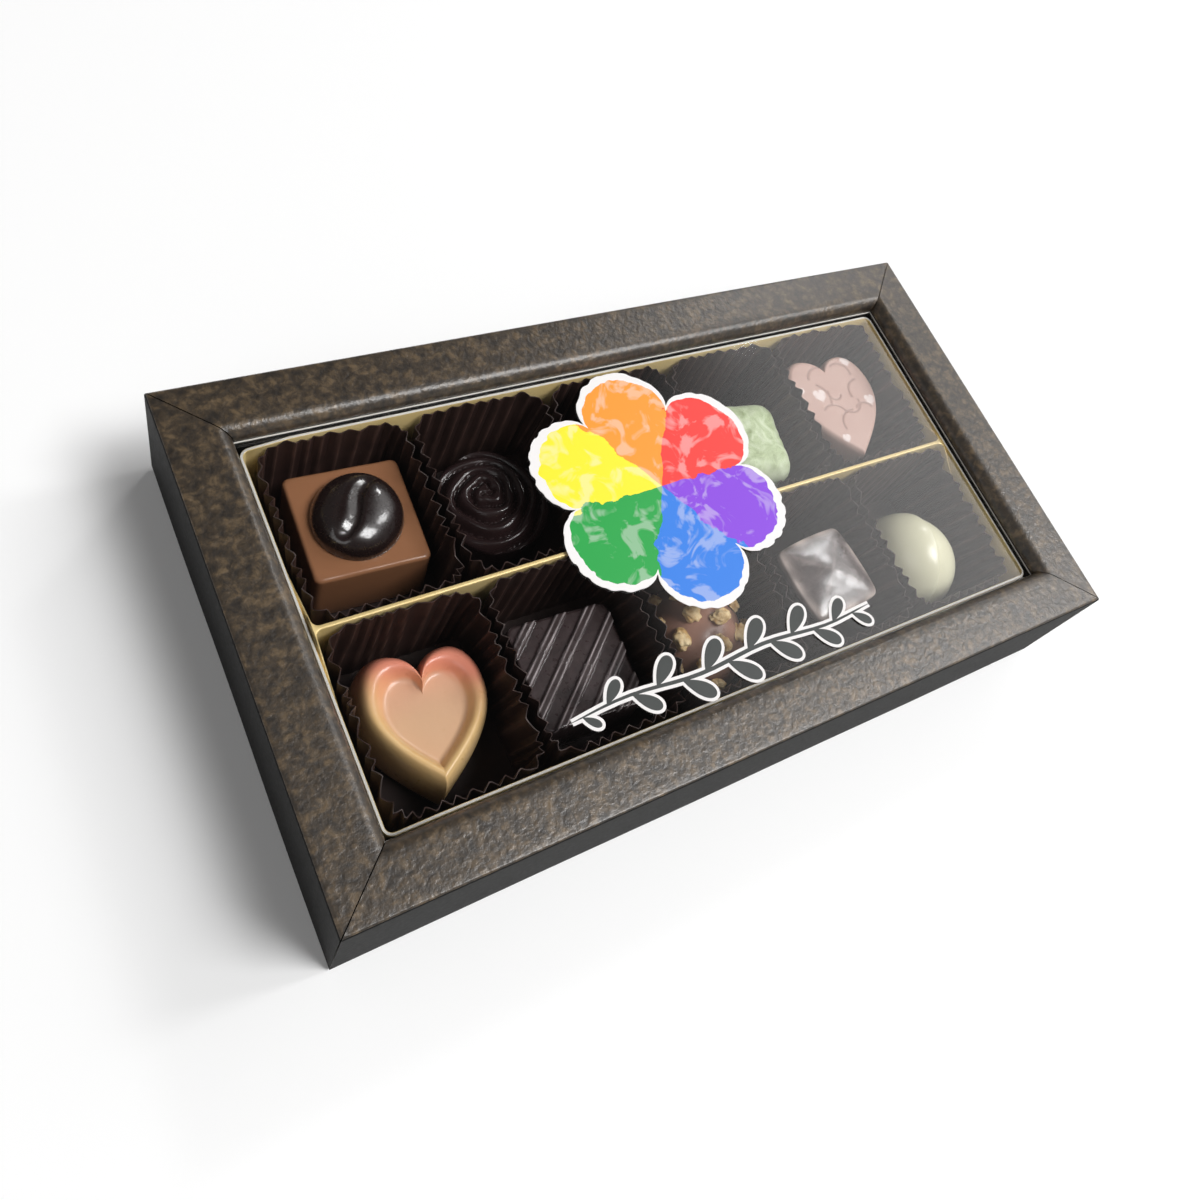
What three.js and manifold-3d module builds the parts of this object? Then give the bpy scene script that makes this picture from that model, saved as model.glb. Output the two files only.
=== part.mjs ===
// Box of chocolates: a windowed card lid over a base tray, and a gold tray of chocolates in paper cups.
// Millimetres, +Z up. X runs along the rows, Y to the back, and the origin is under the middle of the box.
// The box is worked out from the inside: chocolates, cups, gold tray, spacers, base tray and lid.

import * as THREE from 'three';
import { mergeVertices } from 'three/addons/utils/BufferGeometryUtils.js';
import Module from 'manifold-3d';

const wasm = await Module();
wasm.setup();

// Card, paper and film
const LID_CARD = 0.6;
const BASE_CARD = 0.8;
const GOLD_CARD = 0.7;
const DIVIDER_LEAF = 0.5;
const CUP_PAPER = 0.25;
const WINDOW_FILM = 0.3;
const STICKER_FILM = 0.2;

// Gaps between pieces
const SEAT = 0.3; // under a piece that rests on another
const GLUE = 0.1; // in a glued joint
const CUP_GAP = 0.4; // between a cup and its neighbours
const CHOCOLATE_ROOM = 0.3; // between a chocolate and its cup
const LID_ROOM = 0.6; // between the lid's skirt and the base tray, at the top
const MITRE_GAP = 0.15; // from a rail's end to the mitre line

// Lid frame
const FRAME_FACE = 10.1; // flat top of a rail
const FRAME_ROLL = 2.2; // inside radius of the rolled inner edge
const FOLD_ROUND = 0.2; // inside radius of the sharp folds
const INNER_WALL = 0.1; // flat part of the wall down to the window
const GLUE_FLANGE = 7;
const FILM_INSET = 1.5; // film's edge inside the edge of the flange that it is glued to
const SKIRT_LIFT = 0.8; // skirt's lower edge above the table
const FLARE_LONG = 2.6; // how far the long skirts stand out at the bottom
const FLARE_SHORT = 1.2; // and the short ones
const TAB_INSET = 1.4; // mitre tab inside the frame's outer edge and inside its rolled edge

// Gold tray, spacers and base tray
const TRAY_INSET = 0.5; // gold tray inside the window opening
const TRAY_CORNER = 1.5; // corner radius
const BASE_CORNER = 1.2;
const DIVIDER_TAB = 15; // tab along the end wall, from the middle of the divider
const DIVIDER_FILLET = 1.5;

// Paper cups
const CUP_HEIGHT = 23.9;
const CUP_PLEATS = 32;
const PLEAT_FLOOR = 0.3; // depth of the pleats at the floor
const PLEAT_RIM = 1.7; // and at the rim
const CUP_FLOOR_CORNER = 1.5;
const CUP_RIM_CORNER = 6;
const CUP_SPREAD_X = 0.53; // rim outside the floor, along the row
const CUP_SPREAD_Y = 1.67; // and across it
const HEADROOM = 1.41; // tallest chocolate or cup to the top edge of the gold tray

// Chocolates
const MILK = { side: 26.2, height: 17.3, draft: 0.5, bevel: 0.9, corner: 1.6 };
const BEAN = { length: 19.8, width: 18.8, height: 6 };
const BEAN_SLIT = { length: 14, width: 2.6, depth: 2.4, sway: 0.9, steps: 12 };
const SWIRL = { radius: 13.4, height: 15.5, rise: 5, crest: 1.3, pitch: 3.4, rings: 14 };
const FLUTED = { radius: 13.2, height: 15, flutes: 14, fluteDepth: 0.7, crown: 4 };
const PISTACHIO = { length: 22, width: 23.4, height: 19, corner: 4, crown: 6, soft: 6 };
const PINK_HEART = { width: 28.4, length: 32.6, notch: 4.4, height: 18.2, round: 1.6 };
const PEARL_HEART = { width: 28.8, length: 32, notch: 6, height: 16.4, belly: 5.8, shoulder: 12.5, crest: 2.6,
  rim: 5, recess: 2.8 };
const RIDGED = { side: 26.2, height: 15.4, draft: 0.8, corner: 2, pitch: 5.3, groove: 1.1, grooveWidth: 3.6 };
const DOME = { radius: 14.4, height: 16.6 };
const NUT = { count: 18, length: 4.8, width: 3.4, height: 3.4, spread: 66 };
const PILLOW = { length: 22.6, width: 22.4, height: 20.3, corner: 2, hip: 2.4, bulge: 0.7, tip: 0.4 };
const EGG = { length: 28, width: 24.4, height: 21.5, taper: 0.1, fullness: 2.6, rings: 7 };

// Stickers, one behind the other on the window: the flower takes the room that the sprig and the gaps leave
const FLOWER = { x: -1, petals: 6, waist: 0.72, petalRound: 0.6 };
const SPRIG = { x: -5, length: 82, width: 13, leaves: 11, scallop: 0.3 };
const STICKER_GAP = { back: 2, between: 5, front: 1.5 };

// Facets of round forms
const ROUND_STEPS = 32;
const CORNER_STEPS = 4;
const LOBE_STEPS = 4; // on a flute, and on half a leaf

const DEGREE = Math.PI / 180;
const WELD = 1e-4;

/** Closed body through rings of as many points each, from its underside to its last, upward face. */
function loft(rings) {
  const count = rings[0].length;
  const last = (rings.length - 1) * count;
  const faces = [];
  for (let start = 0; start < last; start += count) {
    for (let i = 0; i < count; i += 1) {
      const a = start + i;
      const b = start + ((i + 1) % count);
      faces.push(a, b, b + count, a, b + count, a + count);
    }
  }
  const cap = (ring) => THREE.ShapeUtils.triangulateShape(ring.map((p) => new THREE.Vector2(p.x, p.y)), []);
  cap(rings[0]).forEach(([a, b, c]) => faces.push(c, b, a));
  cap(rings.at(-1)).forEach(([a, b, c]) => faces.push(last + a, last + b, last + c));
  const geometry = new THREE.BufferGeometry().setFromPoints(rings.flat());
  geometry.setIndex(faces);
  return geometry;
}

/** Ring at the height z: an outline drawn in by a factor about the origin. */
function ringAt(outline, z, factor = 1) {
  return outline.map((p) => new THREE.Vector3(p.x * factor, p.y * factor, z));
}

/** Rectangle with round corners, anticlockwise. A corner is no rounder than its sides allow. */
function roundedRect(halfX, halfY, corner) {
  const radius = Math.min(corner, 0.95 * halfX, 0.95 * halfY);
  const centres = [[1, 1], [-1, 1], [-1, -1], [1, -1]];
  return centres.flatMap(([sx, sy], quarter) => Array.from({ length: CORNER_STEPS + 1 }, (_, step) => {
    const angle = (quarter + step / CORNER_STEPS) * Math.PI / 2;
    const x = sx * (halfX - radius) + radius * Math.cos(angle);
    const y = sy * (halfY - radius) + radius * Math.sin(angle);
    return new THREE.Vector2(x, y);
  }));
}

/** Outline whose distance from the middle is a function of the angle. */
function polarOutline(radiusAt, steps) {
  return Array.from({ length: steps }, (_, i) => {
    const angle = i * 2 * Math.PI / steps;
    return new THREE.Vector2(Math.cos(angle), Math.sin(angle)).multiplyScalar(radiusAt(angle));
  });
}

/** Heart with its tip to the front and its notch to the back. The curves' handles are shares of its size. */
function heartOutline({ width, length, notch }) {
  const w = width / 2;
  const l = length / 2;
  const half = new THREE.Path();
  half.moveTo(0, -l);
  half.bezierCurveTo(0.34 * w, -0.7 * l, w, -0.24 * l, w, 0.32 * l);
  half.bezierCurveTo(w, 0.76 * l, 0.76 * w, l, 0.5 * w, l);
  half.bezierCurveTo(0.24 * w, l, 0.06 * w, 0.86 * l, 0, l - notch);
  const right = half.getSpacedPoints(Math.round(ROUND_STEPS / 2));
  const left = right.slice(1, -1).reverse().map((p) => new THREE.Vector2(-p.x, p.y));
  return [...right, ...left];
}

/** Solid that can be joined and cut, from a closed mesh. */
function solidOf(geometry) {
  const bare = geometry.clone();
  bare.deleteAttribute('normal');
  bare.deleteAttribute('uv');
  const merged = mergeVertices(bare, WELD);
  const vertProperties = new Float32Array(merged.getAttribute('position').array);
  const triVerts = new Uint32Array(merged.getIndex().array);
  return new wasm.Manifold(new wasm.Mesh({ numProp: 3, vertProperties, triVerts }));
}

/** Mesh of a solid that was joined or cut. */
function geometryOf(solid) {
  const { vertProperties, triVerts } = solid.getMesh();
  const geometry = new THREE.BufferGeometry();
  geometry.setAttribute('position', new THREE.BufferAttribute(vertProperties, 3));
  geometry.setIndex(new THREE.BufferAttribute(triVerts, 1));
  return geometry;
}

/** Mesh cut by other meshes, which stay apart from each other or overlap. */
function cut(geometry, tools) {
  return geometryOf(tools.reduce((body, tool) => body.subtract(solidOf(tool)), solidOf(geometry)));
}

/** Square moulded chocolate: sides with draft, a bevelled top edge. */
function milkSquare() {
  const half = MILK.side / 2;
  const square = (inset) => roundedRect(half - inset, half - inset, MILK.corner);
  return loft([
    ringAt(square(0), 0),
    ringAt(square(MILK.draft), MILK.height - MILK.bevel),
    ringAt(square(MILK.draft + MILK.bevel), MILK.height),
  ]);
}

/** Half ellipsoid on its flat side. */
function domeBody(halfX, halfY, height) {
  const steps = Math.round(ROUND_STEPS / 4);
  const profile = Array.from({ length: steps + 1 }, (_, i) => {
    const angle = i / steps * Math.PI / 2;
    return new THREE.Vector2(Math.cos(angle), Math.sin(angle));
  });
  profile[steps].x = 0;
  const geometry = new THREE.LatheGeometry([new THREE.Vector2(0, 0), ...profile], ROUND_STEPS);
  return geometry.rotateX(Math.PI / 2).scale(halfX, halfY, height);
}

/** Coffee bean: a dome with a swaying slit along its top. */
function coffeeBean() {
  const { length, width, depth, sway, steps } = BEAN_SLIT;
  const side = (sign) => Array.from({ length: steps }, (_, i) => {
    const s = (i / steps * 2 - 1) * sign;
    const across = sway * Math.sin(s * Math.PI) + sign * width / 2 * (s * s - 1);
    return new THREE.Vector2(s * length / 2, across);
  });
  const outline = new THREE.Shape([...side(1), ...side(-1)]);
  const slit = new THREE.ExtrudeGeometry(outline, { depth: 2 * depth, bevelEnabled: false });
  slit.translate(0, 0, BEAN.height - depth);
  return cut(domeBody(BEAN.length / 2, BEAN.width / 2, BEAN.height), [slit]);
}

/** Round chocolate whose piped top winds up to its middle: the crest's height follows radius and angle. */
function swirlRound() {
  const wall = SWIRL.height - SWIRL.rise;
  const shares = Array.from({ length: SWIRL.rings }, (_, i) => 1 - i / SWIRL.rings);
  const topRing = (share) => polarOutline(() => share * SWIRL.radius, ROUND_STEPS).map((p, i) => {
    const phase = share * SWIRL.radius / SWIRL.pitch - i / ROUND_STEPS;
    const crest = SWIRL.crest * (Math.cos(phase * 2 * Math.PI) - 1) / 2;
    return new THREE.Vector3(p.x, p.y, wall + SWIRL.rise * (1 - share * share) + crest);
  });
  const base = polarOutline(() => SWIRL.radius, ROUND_STEPS);
  return loft([ringAt(base, 0), ...shares.map(topRing)]);
}

/** Round chocolate with fluted sides and a low crown. */
function flutedRound() {
  const wave = (angle) => FLUTED.radius - FLUTED.fluteDepth * (1 - Math.cos(angle * FLUTED.flutes)) / 2;
  const outline = polarOutline(wave, FLUTED.flutes * LOBE_STEPS);
  const wall = FLUTED.height - FLUTED.crown;
  const crown = [0.25, 0.5, 0.75, 0.95].map((rise) => {
    return ringAt(outline, wall + rise * FLUTED.crown, Math.sqrt(1 - rise * rise));
  });
  return loft([ringAt(outline, 0), ringAt(outline, wall), ...crown]);
}

/** Block with round corners and a softly rounded top, whose crown draws in by soft. */
function crownedBlock({ length, width, height, corner, crown, soft }) {
  const block = (inset, z) => ringAt(roundedRect(length / 2 - inset, width / 2 - inset, corner), z);
  const top = [0, 0.35, 0.65, 0.9, 1].map((rise) => {
    return block(soft * (1 - Math.sqrt(1 - rise * rise)), height - crown * (1 - rise));
  });
  return loft([block(0, 0), ...top]);
}

/** Cushion-like block: bulging sides, and a low top of four facets that meet in hips. */
function hippedBlock({ length, width, height, corner, hip, bulge, tip }) {
  const block = (inset, z) => ringAt(roundedRect(length / 2 - inset, width / 2 - inset, corner), z);
  const edge = height - hip;
  return loft([
    block(bulge, 0),
    block(0, edge / 2),
    block(bulge, edge),
    block(Math.min(length, width) / 2 - tip, height),
  ]);
}

/** Flat heart with rounded edges. */
function pinkHeart() {
  const outline = heartOutline(PINK_HEART);
  const inset = (distance) => 1 - distance * 2 / PINK_HEART.width;
  return loft([
    ringAt(outline, 0, inset(PINK_HEART.round)),
    ringAt(outline, PINK_HEART.height / 2),
    ringAt(outline, PINK_HEART.height - PINK_HEART.round, inset(PINK_HEART.round / 4)),
    ringAt(outline, PINK_HEART.height, inset(PINK_HEART.round)),
  ]);
}

/** Plump heart with a smaller heart sunk into its top. */
function pearlHeart() {
  const outline = heartOutline(PEARL_HEART);
  const inset = (distance) => 1 - distance * 2 / PEARL_HEART.width;
  const { height, belly, shoulder, crest, rim, recess } = PEARL_HEART;
  return loft([
    ringAt(outline, 0, inset(crest / 2)),
    ringAt(outline, belly),
    ringAt(outline, shoulder, inset(crest / 2)),
    ringAt(outline, height, inset(crest)),
    ringAt(outline, height - recess / 3, inset((crest + rim) / 2)),
    ringAt(outline, height - recess, inset(rim)),
  ]);
}

/** Square chocolate with ridges across the diagonal of its top, left between grooves. */
function ridgedSquare() {
  const half = RIDGED.side / 2;
  const body = loft([
    ringAt(roundedRect(half, half, RIDGED.corner), 0),
    ringAt(roundedRect(half - RIDGED.draft, half - RIDGED.draft, RIDGED.corner), RIDGED.height),
  ]);
  const halfDiagonal = RIDGED.side * Math.SQRT1_2;
  const lines = Math.floor(halfDiagonal / RIDGED.pitch);
  const groove = new THREE.Shape([
    new THREE.Vector2(0, -RIDGED.groove),
    new THREE.Vector2(RIDGED.grooveWidth, RIDGED.groove),
    new THREE.Vector2(-RIDGED.grooveWidth, RIDGED.groove),
  ]);
  const tools = Array.from({ length: 2 * lines + 1 }, (_, i) => {
    const tool = new THREE.ExtrudeGeometry(groove, { depth: 2 * RIDGED.side, bevelEnabled: false });
    tool.translate((i - lines) * RIDGED.pitch, 0, -RIDGED.side).rotateX(Math.PI / 2);
    return tool.rotateZ(-45 * DEGREE).translate(0, 0, RIDGED.height);
  });
  return cut(body, tools);
}

/** Chopped nuts over the upper part of the dome, each lump cut to seat on it. */
function choppedNuts() {
  const golden = Math.PI * (3 - Math.sqrt(5));
  const seat = domeBody(DOME.radius + SEAT, DOME.radius + SEAT, DOME.height + SEAT);
  return Array.from({ length: NUT.count }, (_, i) => {
    const tilt = NUT.spread * DEGREE * Math.sqrt((i + 0.5) / NUT.count);
    const around = i * golden;
    const lump = new THREE.IcosahedronGeometry(0.5, 0).scale(NUT.length, NUT.width, NUT.height).rotateZ(i);
    const out = DOME.radius * Math.sin(tilt);
    lump.translate(out * Math.cos(around), out * Math.sin(around), DOME.height * Math.cos(tilt) + SEAT);
    return cut(lump, [seat]);
  });
}

/** Egg lying on its flat side, narrower at one end. */
function whiteEgg() {
  const outline = polarOutline((angle) => {
    const oval = Math.hypot(Math.cos(angle) * EGG.width / 2, Math.sin(angle) * EGG.length / 2);
    return oval * (1 - EGG.taper * Math.sin(angle));
  }, ROUND_STEPS);
  const rings = Array.from({ length: EGG.rings }, (_, i) => {
    const rise = Math.sin(i / EGG.rings * Math.PI / 2);
    return ringAt(outline, rise * EGG.height, Math.sqrt(1 - rise ** EGG.fullness));
  });
  return loft(rings);
}

const colour = (hex, roughness, metalness = 0) => ({ color: hex, roughness, metalness });
const MILK_CHOCOLATE = colour(0x9a6a4b, 0.35);
const DARK_CHOCOLATE = colour(0x2a1c1c, 0.3);

// Chocolates by column (0 at the left) and row (1 at the back), with their shift in the cup and their turn
const CHOCOLATES = [
  { name: 'milk_square', at: [0, 1], shift: [0.5, 3], turn: -2.5, form: milkSquare(), look: MILK_CHOCOLATE },
  { name: 'dark_swirl', at: [1, 1], shift: [-0.3, 1.9], turn: 0, form: swirlRound(), look: DARK_CHOCOLATE },
  { name: 'fluted_round', at: [2, 1], shift: [0, 1], turn: 0, form: flutedRound(), look: MILK_CHOCOLATE },
  { name: 'pistachio_block', at: [3, 1], shift: [1.6, -2.2], turn: -10, form: crownedBlock(PISTACHIO),
    look: colour(0xa8ba8c, 0.5) },
  { name: 'pink_heart', at: [4, 1], shift: [-0.1, -0.2], turn: -4, form: pinkHeart(),
    look: colour(0xbfa095, 0.5) },
  { name: 'pearl_heart', at: [0, 0], shift: [-0.64, -0.7], turn: -8, form: pearlHeart(),
    look: colour(0xc8945a, 0.3) },
  { name: 'ridged_square', at: [1, 0], shift: [-0.5, -0.8], turn: -3, form: ridgedSquare(),
    look: DARK_CHOCOLATE },
  { name: 'nut_dome', at: [2, 0], shift: [0.1, -2.1], turn: 0,
    form: domeBody(DOME.radius, DOME.radius, DOME.height), look: colour(0x7a5c50, 0.35) },
  { name: 'marbled_pillow', at: [3, 0], shift: [1.8, -1.3], turn: 5, form: hippedBlock(PILLOW),
    look: colour(0x5b4f4c, 0.3) },
  { name: 'white_egg', at: [4, 0], shift: [0.6, -1.6], turn: 24, form: whiteEgg(),
    look: colour(0xe6e3c4, 0.4) },
];

// What is set on a chocolate, and how far it stands up above the chocolate's top
const TOPPINGS = [
  { name: 'coffee_bean', on: 'milk_square', turn: 48, lift: MILK.height + SEAT, form: coffeeBean(),
    look: DARK_CHOCOLATE },
  ...choppedNuts().map((form, i) => (
    { name: `chopped_nut_${i + 1}`, on: 'nut_dome', turn: 0, lift: 0, form, look: colour(0xc8a56e, 0.6) }
  )),
];

// Turn each form in its place and find how far the chocolates reach from the middle of their cups
[...CHOCOLATES, ...TOPPINGS].forEach((piece) => piece.form.rotateZ(piece.turn * DEGREE).computeBoundingBox());
const reachAlong = (axis, index) => Math.max(...CHOCOLATES.map(({ form, shift }) => {
  return Math.max(form.boundingBox.max[axis] + shift[index], -form.boundingBox.min[axis] - shift[index]);
}));
const tallest = Math.max(
  ...CHOCOLATES.map(({ form }) => form.boundingBox.max.z),
  ...TOPPINGS.map(({ form, lift }) => lift + form.boundingBox.max.z),
);

// Corner of a square that clears a round corner stands back by this share of the corner's radius
const SQUARE_IN_ROUND = 1 - Math.SQRT1_2;

// Cups: a square chocolate clears the round corners at the floor, and the pleats further up
const cupPleat = Math.max(PLEAT_FLOOR + CUP_FLOOR_CORNER * SQUARE_IN_ROUND, PLEAT_RIM - CUP_SPREAD_X);
const cupWall = CHOCOLATE_ROOM + CUP_PAPER + cupPleat;
const cupFloor = { x: reachAlong('x', 0) + cupWall, y: reachAlong('y', 1) + cupWall };
const cupRim = { x: cupFloor.x + CUP_SPREAD_X, y: cupFloor.y + CUP_SPREAD_Y };
const columnPitch = 2 * cupRim.x + CUP_GAP;
const rowOffset = DIVIDER_LEAF + CUP_GAP + cupRim.y;
const columns = 1 + Math.max(...CHOCOLATES.map(({ at: [column] }) => column));

// Half sizes in plan, from the gold tray outwards
const plan = (x, y) => ({ x, y });
const grow = (size, by) => plan(size.x + by, size.y + by);
const rowLength = columns * columnPitch + CUP_GAP;
const trayInside = plan(rowLength / 2 + DIVIDER_LEAF + SEAT, rowOffset + cupRim.y + CUP_GAP);
const trayOutside = grow(trayInside, GOLD_CARD);
const opening = grow(trayOutside, TRAY_INSET);
const frameDepth = FRAME_FACE + FRAME_ROLL + LID_CARD;
const lidTop = grow(opening, frameDepth);
const baseOutside = grow(lidTop, -LID_CARD - LID_ROOM);
const spacerOutside = grow(baseOutside, -BASE_CARD - SEAT - BASE_CORNER * SQUARE_IN_ROUND);
const spacerDepth = spacerOutside.x - trayOutside.x - SEAT;

// Levels, from the table upwards
const trayBottom = BASE_CARD + SEAT;
const cupBottom = trayBottom + GOLD_CARD + SEAT;
const chocolateBottom = cupBottom + CUP_PAPER + SEAT;
const trayTop = Math.max(chocolateBottom + tallest, cupBottom + CUP_HEIGHT) + HEADROOM;
const filmBottom = trayTop + SEAT;
const filmTop = filmBottom + WINDOW_FILM;
const flangeBottom = filmTop + GLUE;
const lidFold = FOLD_ROUND + LID_CARD;
const lidRoll = FRAME_ROLL + LID_CARD;
const frameTop = flangeBottom + lidFold + INNER_WALL + lidRoll;

/** Pleated outline: every other point of an outline drawn inwards. */
function pleated(outline, inset, depth) {
  const path = new THREE.Path([...outline, outline[0]]);
  const points = path.getSpacedPoints(2 * CUP_PLEATS).slice(0, -1);
  return points.map((point, i) => {
    const along = points[(i + 1) % points.length].clone().sub(points.at(i - 1)).normalize();
    const inwards = new THREE.Vector2(-along.y, along.x);
    return point.clone().addScaledVector(inwards, inset + (i % 2) * depth);
  });
}

/** Pleated paper cup, open at the top. */
function paperCup() {
  const floor = roundedRect(cupFloor.x, cupFloor.y, CUP_FLOOR_CORNER);
  const rim = roundedRect(cupRim.x, cupRim.y, CUP_RIM_CORNER);
  return loft([
    ringAt(pleated(floor, 0, PLEAT_FLOOR), 0),
    ringAt(pleated(rim, 0, PLEAT_RIM), CUP_HEIGHT),
    ringAt(pleated(rim, CUP_PAPER, PLEAT_RIM), CUP_HEIGHT),
    ringAt(pleated(floor, CUP_PAPER, PLEAT_FLOOR), CUP_PAPER),
  ]);
}

/** Open card tray: a floor and four walls. */
function cardTray(outside, card, corner, bottom, top) {
  const outer = roundedRect(outside.x, outside.y, corner + card);
  const inner = roundedRect(outside.x - card, outside.y - card, corner);
  return loft([ringAt(outer, bottom), ringAt(outer, top), ringAt(inner, top), ringAt(inner, bottom + card)]);
}

/** Divider seen from above: two leaves back to back, which open into tabs along both end walls. */
function divider() {
  const end = trayInside.x - SEAT / 2;
  const face = end - DIVIDER_LEAF;
  const bend = DIVIDER_LEAF + DIVIDER_FILLET;
  const shape = new THREE.Shape();
  shape.moveTo(end, -DIVIDER_TAB);
  shape.lineTo(end, DIVIDER_TAB);
  shape.lineTo(face, DIVIDER_TAB);
  shape.absarc(face - DIVIDER_FILLET, bend, DIVIDER_FILLET, 0, -Math.PI / 2, true);
  shape.absarc(DIVIDER_FILLET - face, bend, DIVIDER_FILLET, -Math.PI / 2, -Math.PI, true);
  shape.lineTo(-face, DIVIDER_TAB);
  shape.lineTo(-end, DIVIDER_TAB);
  shape.lineTo(-end, -DIVIDER_TAB);
  shape.lineTo(-face, -DIVIDER_TAB);
  shape.absarc(DIVIDER_FILLET - face, -bend, DIVIDER_FILLET, Math.PI, Math.PI / 2, true);
  shape.absarc(face - DIVIDER_FILLET, -bend, DIVIDER_FILLET, Math.PI / 2, 0, true);
  shape.lineTo(face, -DIVIDER_TAB);
  const depth = trayTop - cupBottom;
  const form = new THREE.ExtrudeGeometry(shape, { depth, bevelEnabled: false, curveSegments: CORNER_STEPS });
  return form.translate(0, 0, cupBottom);
}

/** Section of folded card: the outer face is a line of points, and the card lies on its right. */
function foldedSection(face, card) {
  const inner = face.map((point, i) => {
    const before = face[Math.max(i, 1)].clone().sub(face[Math.max(i, 1) - 1]).normalize();
    const next = Math.min(i + 1, face.length - 1);
    const after = face[next].clone().sub(face[next - 1]).normalize();
    const sum = new THREE.Vector2(before.y + after.y, -before.x - after.x);
    return point.clone().addScaledVector(sum, card / (1 + before.dot(after)));
  });
  return new THREE.Shape([...face, ...inner.reverse()]);
}

/** Points of a clockwise quarter bend about a centre, from a start angle in quarter turns. */
function bend(x, y, radius, quarter) {
  return Array.from({ length: CORNER_STEPS + 1 }, (_, i) => {
    const angle = (quarter - i / CORNER_STEPS) * Math.PI / 2;
    return new THREE.Vector2(x + radius * Math.cos(angle), y + radius * Math.sin(angle));
  });
}

/**
 * Front rail of a rectangle of folded card: a section carried along, with mitred ends. Where the section
 * stands out over the rectangle, the ends grow by that times spread, to meet the skirts round the corner.
 */
function mitredRail(section, half, spread = 1) {
  const form = new THREE.ExtrudeGeometry(section, { depth: 1, bevelEnabled: false });
  const position = form.getAttribute('position');
  for (let i = 0; i < position.count; i += 1) {
    const inwards = position.getX(i);
    const end = half.x - (inwards > 0 ? inwards : inwards * spread) - MITRE_GAP;
    position.setXYZ(i, (2 * position.getZ(i) - 1) * end, inwards - half.y, position.getY(i));
  }
  return form;
}

/** Section of a lid rail: flared skirt, flat top, rolled inner edge, inner wall and glue flange. */
function lidSection(flare) {
  return foldedSection([
    new THREE.Vector2(-flare, SKIRT_LIFT),
    ...bend(lidFold, frameTop - lidFold, lidFold, 2),
    ...bend(FRAME_FACE, frameTop - lidRoll, lidRoll, 1),
    ...bend(frameDepth - lidFold, flangeBottom + lidFold, lidFold, 0),
    new THREE.Vector2(frameDepth - GLUE_FLANGE, flangeBottom),
  ], LID_CARD);
}

/** Section of a spacer: an upside-down channel between the base tray's wall and the gold tray. */
function spacerSection() {
  const fold = FOLD_ROUND + BASE_CARD;
  return foldedSection([
    new THREE.Vector2(0, trayBottom),
    ...bend(fold, trayTop - fold, fold, 2),
    ...bend(spacerDepth - fold, trayTop - fold, fold, 1),
    new THREE.Vector2(spacerDepth, trayBottom),
  ], BASE_CARD);
}

/** Flat sheet of an outline. */
function sheet(outline, thickness, bottom) {
  return new THREE.ExtrudeGeometry(new THREE.Shape(outline), { depth: thickness, bevelEnabled: false })
    .translate(0, 0, bottom);
}

// Room for the stickers, from the back of the window to its front
const stickerGaps = STICKER_GAP.back + STICKER_GAP.between + STICKER_GAP.front;
const flowerRadius = opening.y - (stickerGaps + SPRIG.width) / 2;
const flowerY = opening.y - STICKER_GAP.back - flowerRadius;
const sprigY = STICKER_GAP.front + SPRIG.width / 2 - opening.y;

/** Flower sticker: round petals that meet at a waist. */
function flowerSticker() {
  const petal = (angle) => {
    const lobe = Math.abs(Math.sin(angle * FLOWER.petals / 2)) ** FLOWER.petalRound;
    return flowerRadius * (FLOWER.waist + (1 - FLOWER.waist) * lobe);
  };
  const outline = polarOutline(petal, FLOWER.petals * 3 * LOBE_STEPS);
  return sheet(outline, STICKER_FILM, filmTop + GLUE).translate(FLOWER.x, flowerY, 0);
}

/** Sprig sticker: a long band with a scallop for each leaf, narrower towards its ends. */
function sprigSticker() {
  const steps = SPRIG.leaves * LOBE_STEPS * 2;
  const edge = (sign) => Array.from({ length: steps }, (_, i) => {
    const share = i / steps;
    const leaf = 1 - SPRIG.scallop * (1 - Math.abs(Math.sin(share * SPRIG.leaves * Math.PI)));
    const taper = Math.sqrt(1 - (2 * share - 1) ** 2);
    const half = SPRIG.width / 2 * leaf * taper;
    return new THREE.Vector2(sign * (share - 0.5) * SPRIG.length, -sign * half);
  });
  const outline = [...edge(1), ...edge(-1)];
  return sheet(outline, STICKER_FILM, filmTop + GLUE).translate(SPRIG.x, sprigY, 0);
}

const box = new THREE.Group();
const base = new THREE.Group();
const lid = new THREE.Group();
box.add(base, lid);

/** Named piece of the box with its own material. */
function piece(parent, name, form, look) {
  form.computeVertexNormals();
  const mesh = new THREE.Mesh(form, new THREE.MeshStandardMaterial(look));
  mesh.name = name;
  parent.add(mesh);
  return mesh;
}

const CHARCOAL_CARD = colour(0x3f4040, 0.6);
const BRONZE_CARD = colour(0x4a3e32, 0.55, 0.2);
const GOLD = colour(0xc9a25c, 0.3, 0.8);
const BROWN_PAPER = colour(0x211416, 0.5);

// Sides of a rectangle: the turn that takes the front rail there, and whether it is a long side
const SIDES = [
  { side: 'front', turn: 0, long: true },
  { side: 'right', turn: 90, long: false },
  { side: 'back', turn: 180, long: true },
  { side: 'left', turn: -90, long: false },
];
const seenFrom = (size, long) => (long ? size : plan(size.y, size.x));

piece(base, 'base_tray', cardTray(baseOutside, BASE_CARD, BASE_CORNER, 0, trayTop), CHARCOAL_CARD);
piece(base, 'gold_tray', cardTray(trayOutside, GOLD_CARD, TRAY_CORNER, trayBottom, trayTop), GOLD);
piece(base, 'gold_divider', divider(), GOLD);
SIDES.forEach(({ side, turn, long }) => {
  const spacer = mitredRail(spacerSection(), seenFrom(spacerOutside, long));
  piece(base, `spacer_${side}`, spacer, CHARCOAL_CARD).rotation.z = turn * DEGREE;
});

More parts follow.
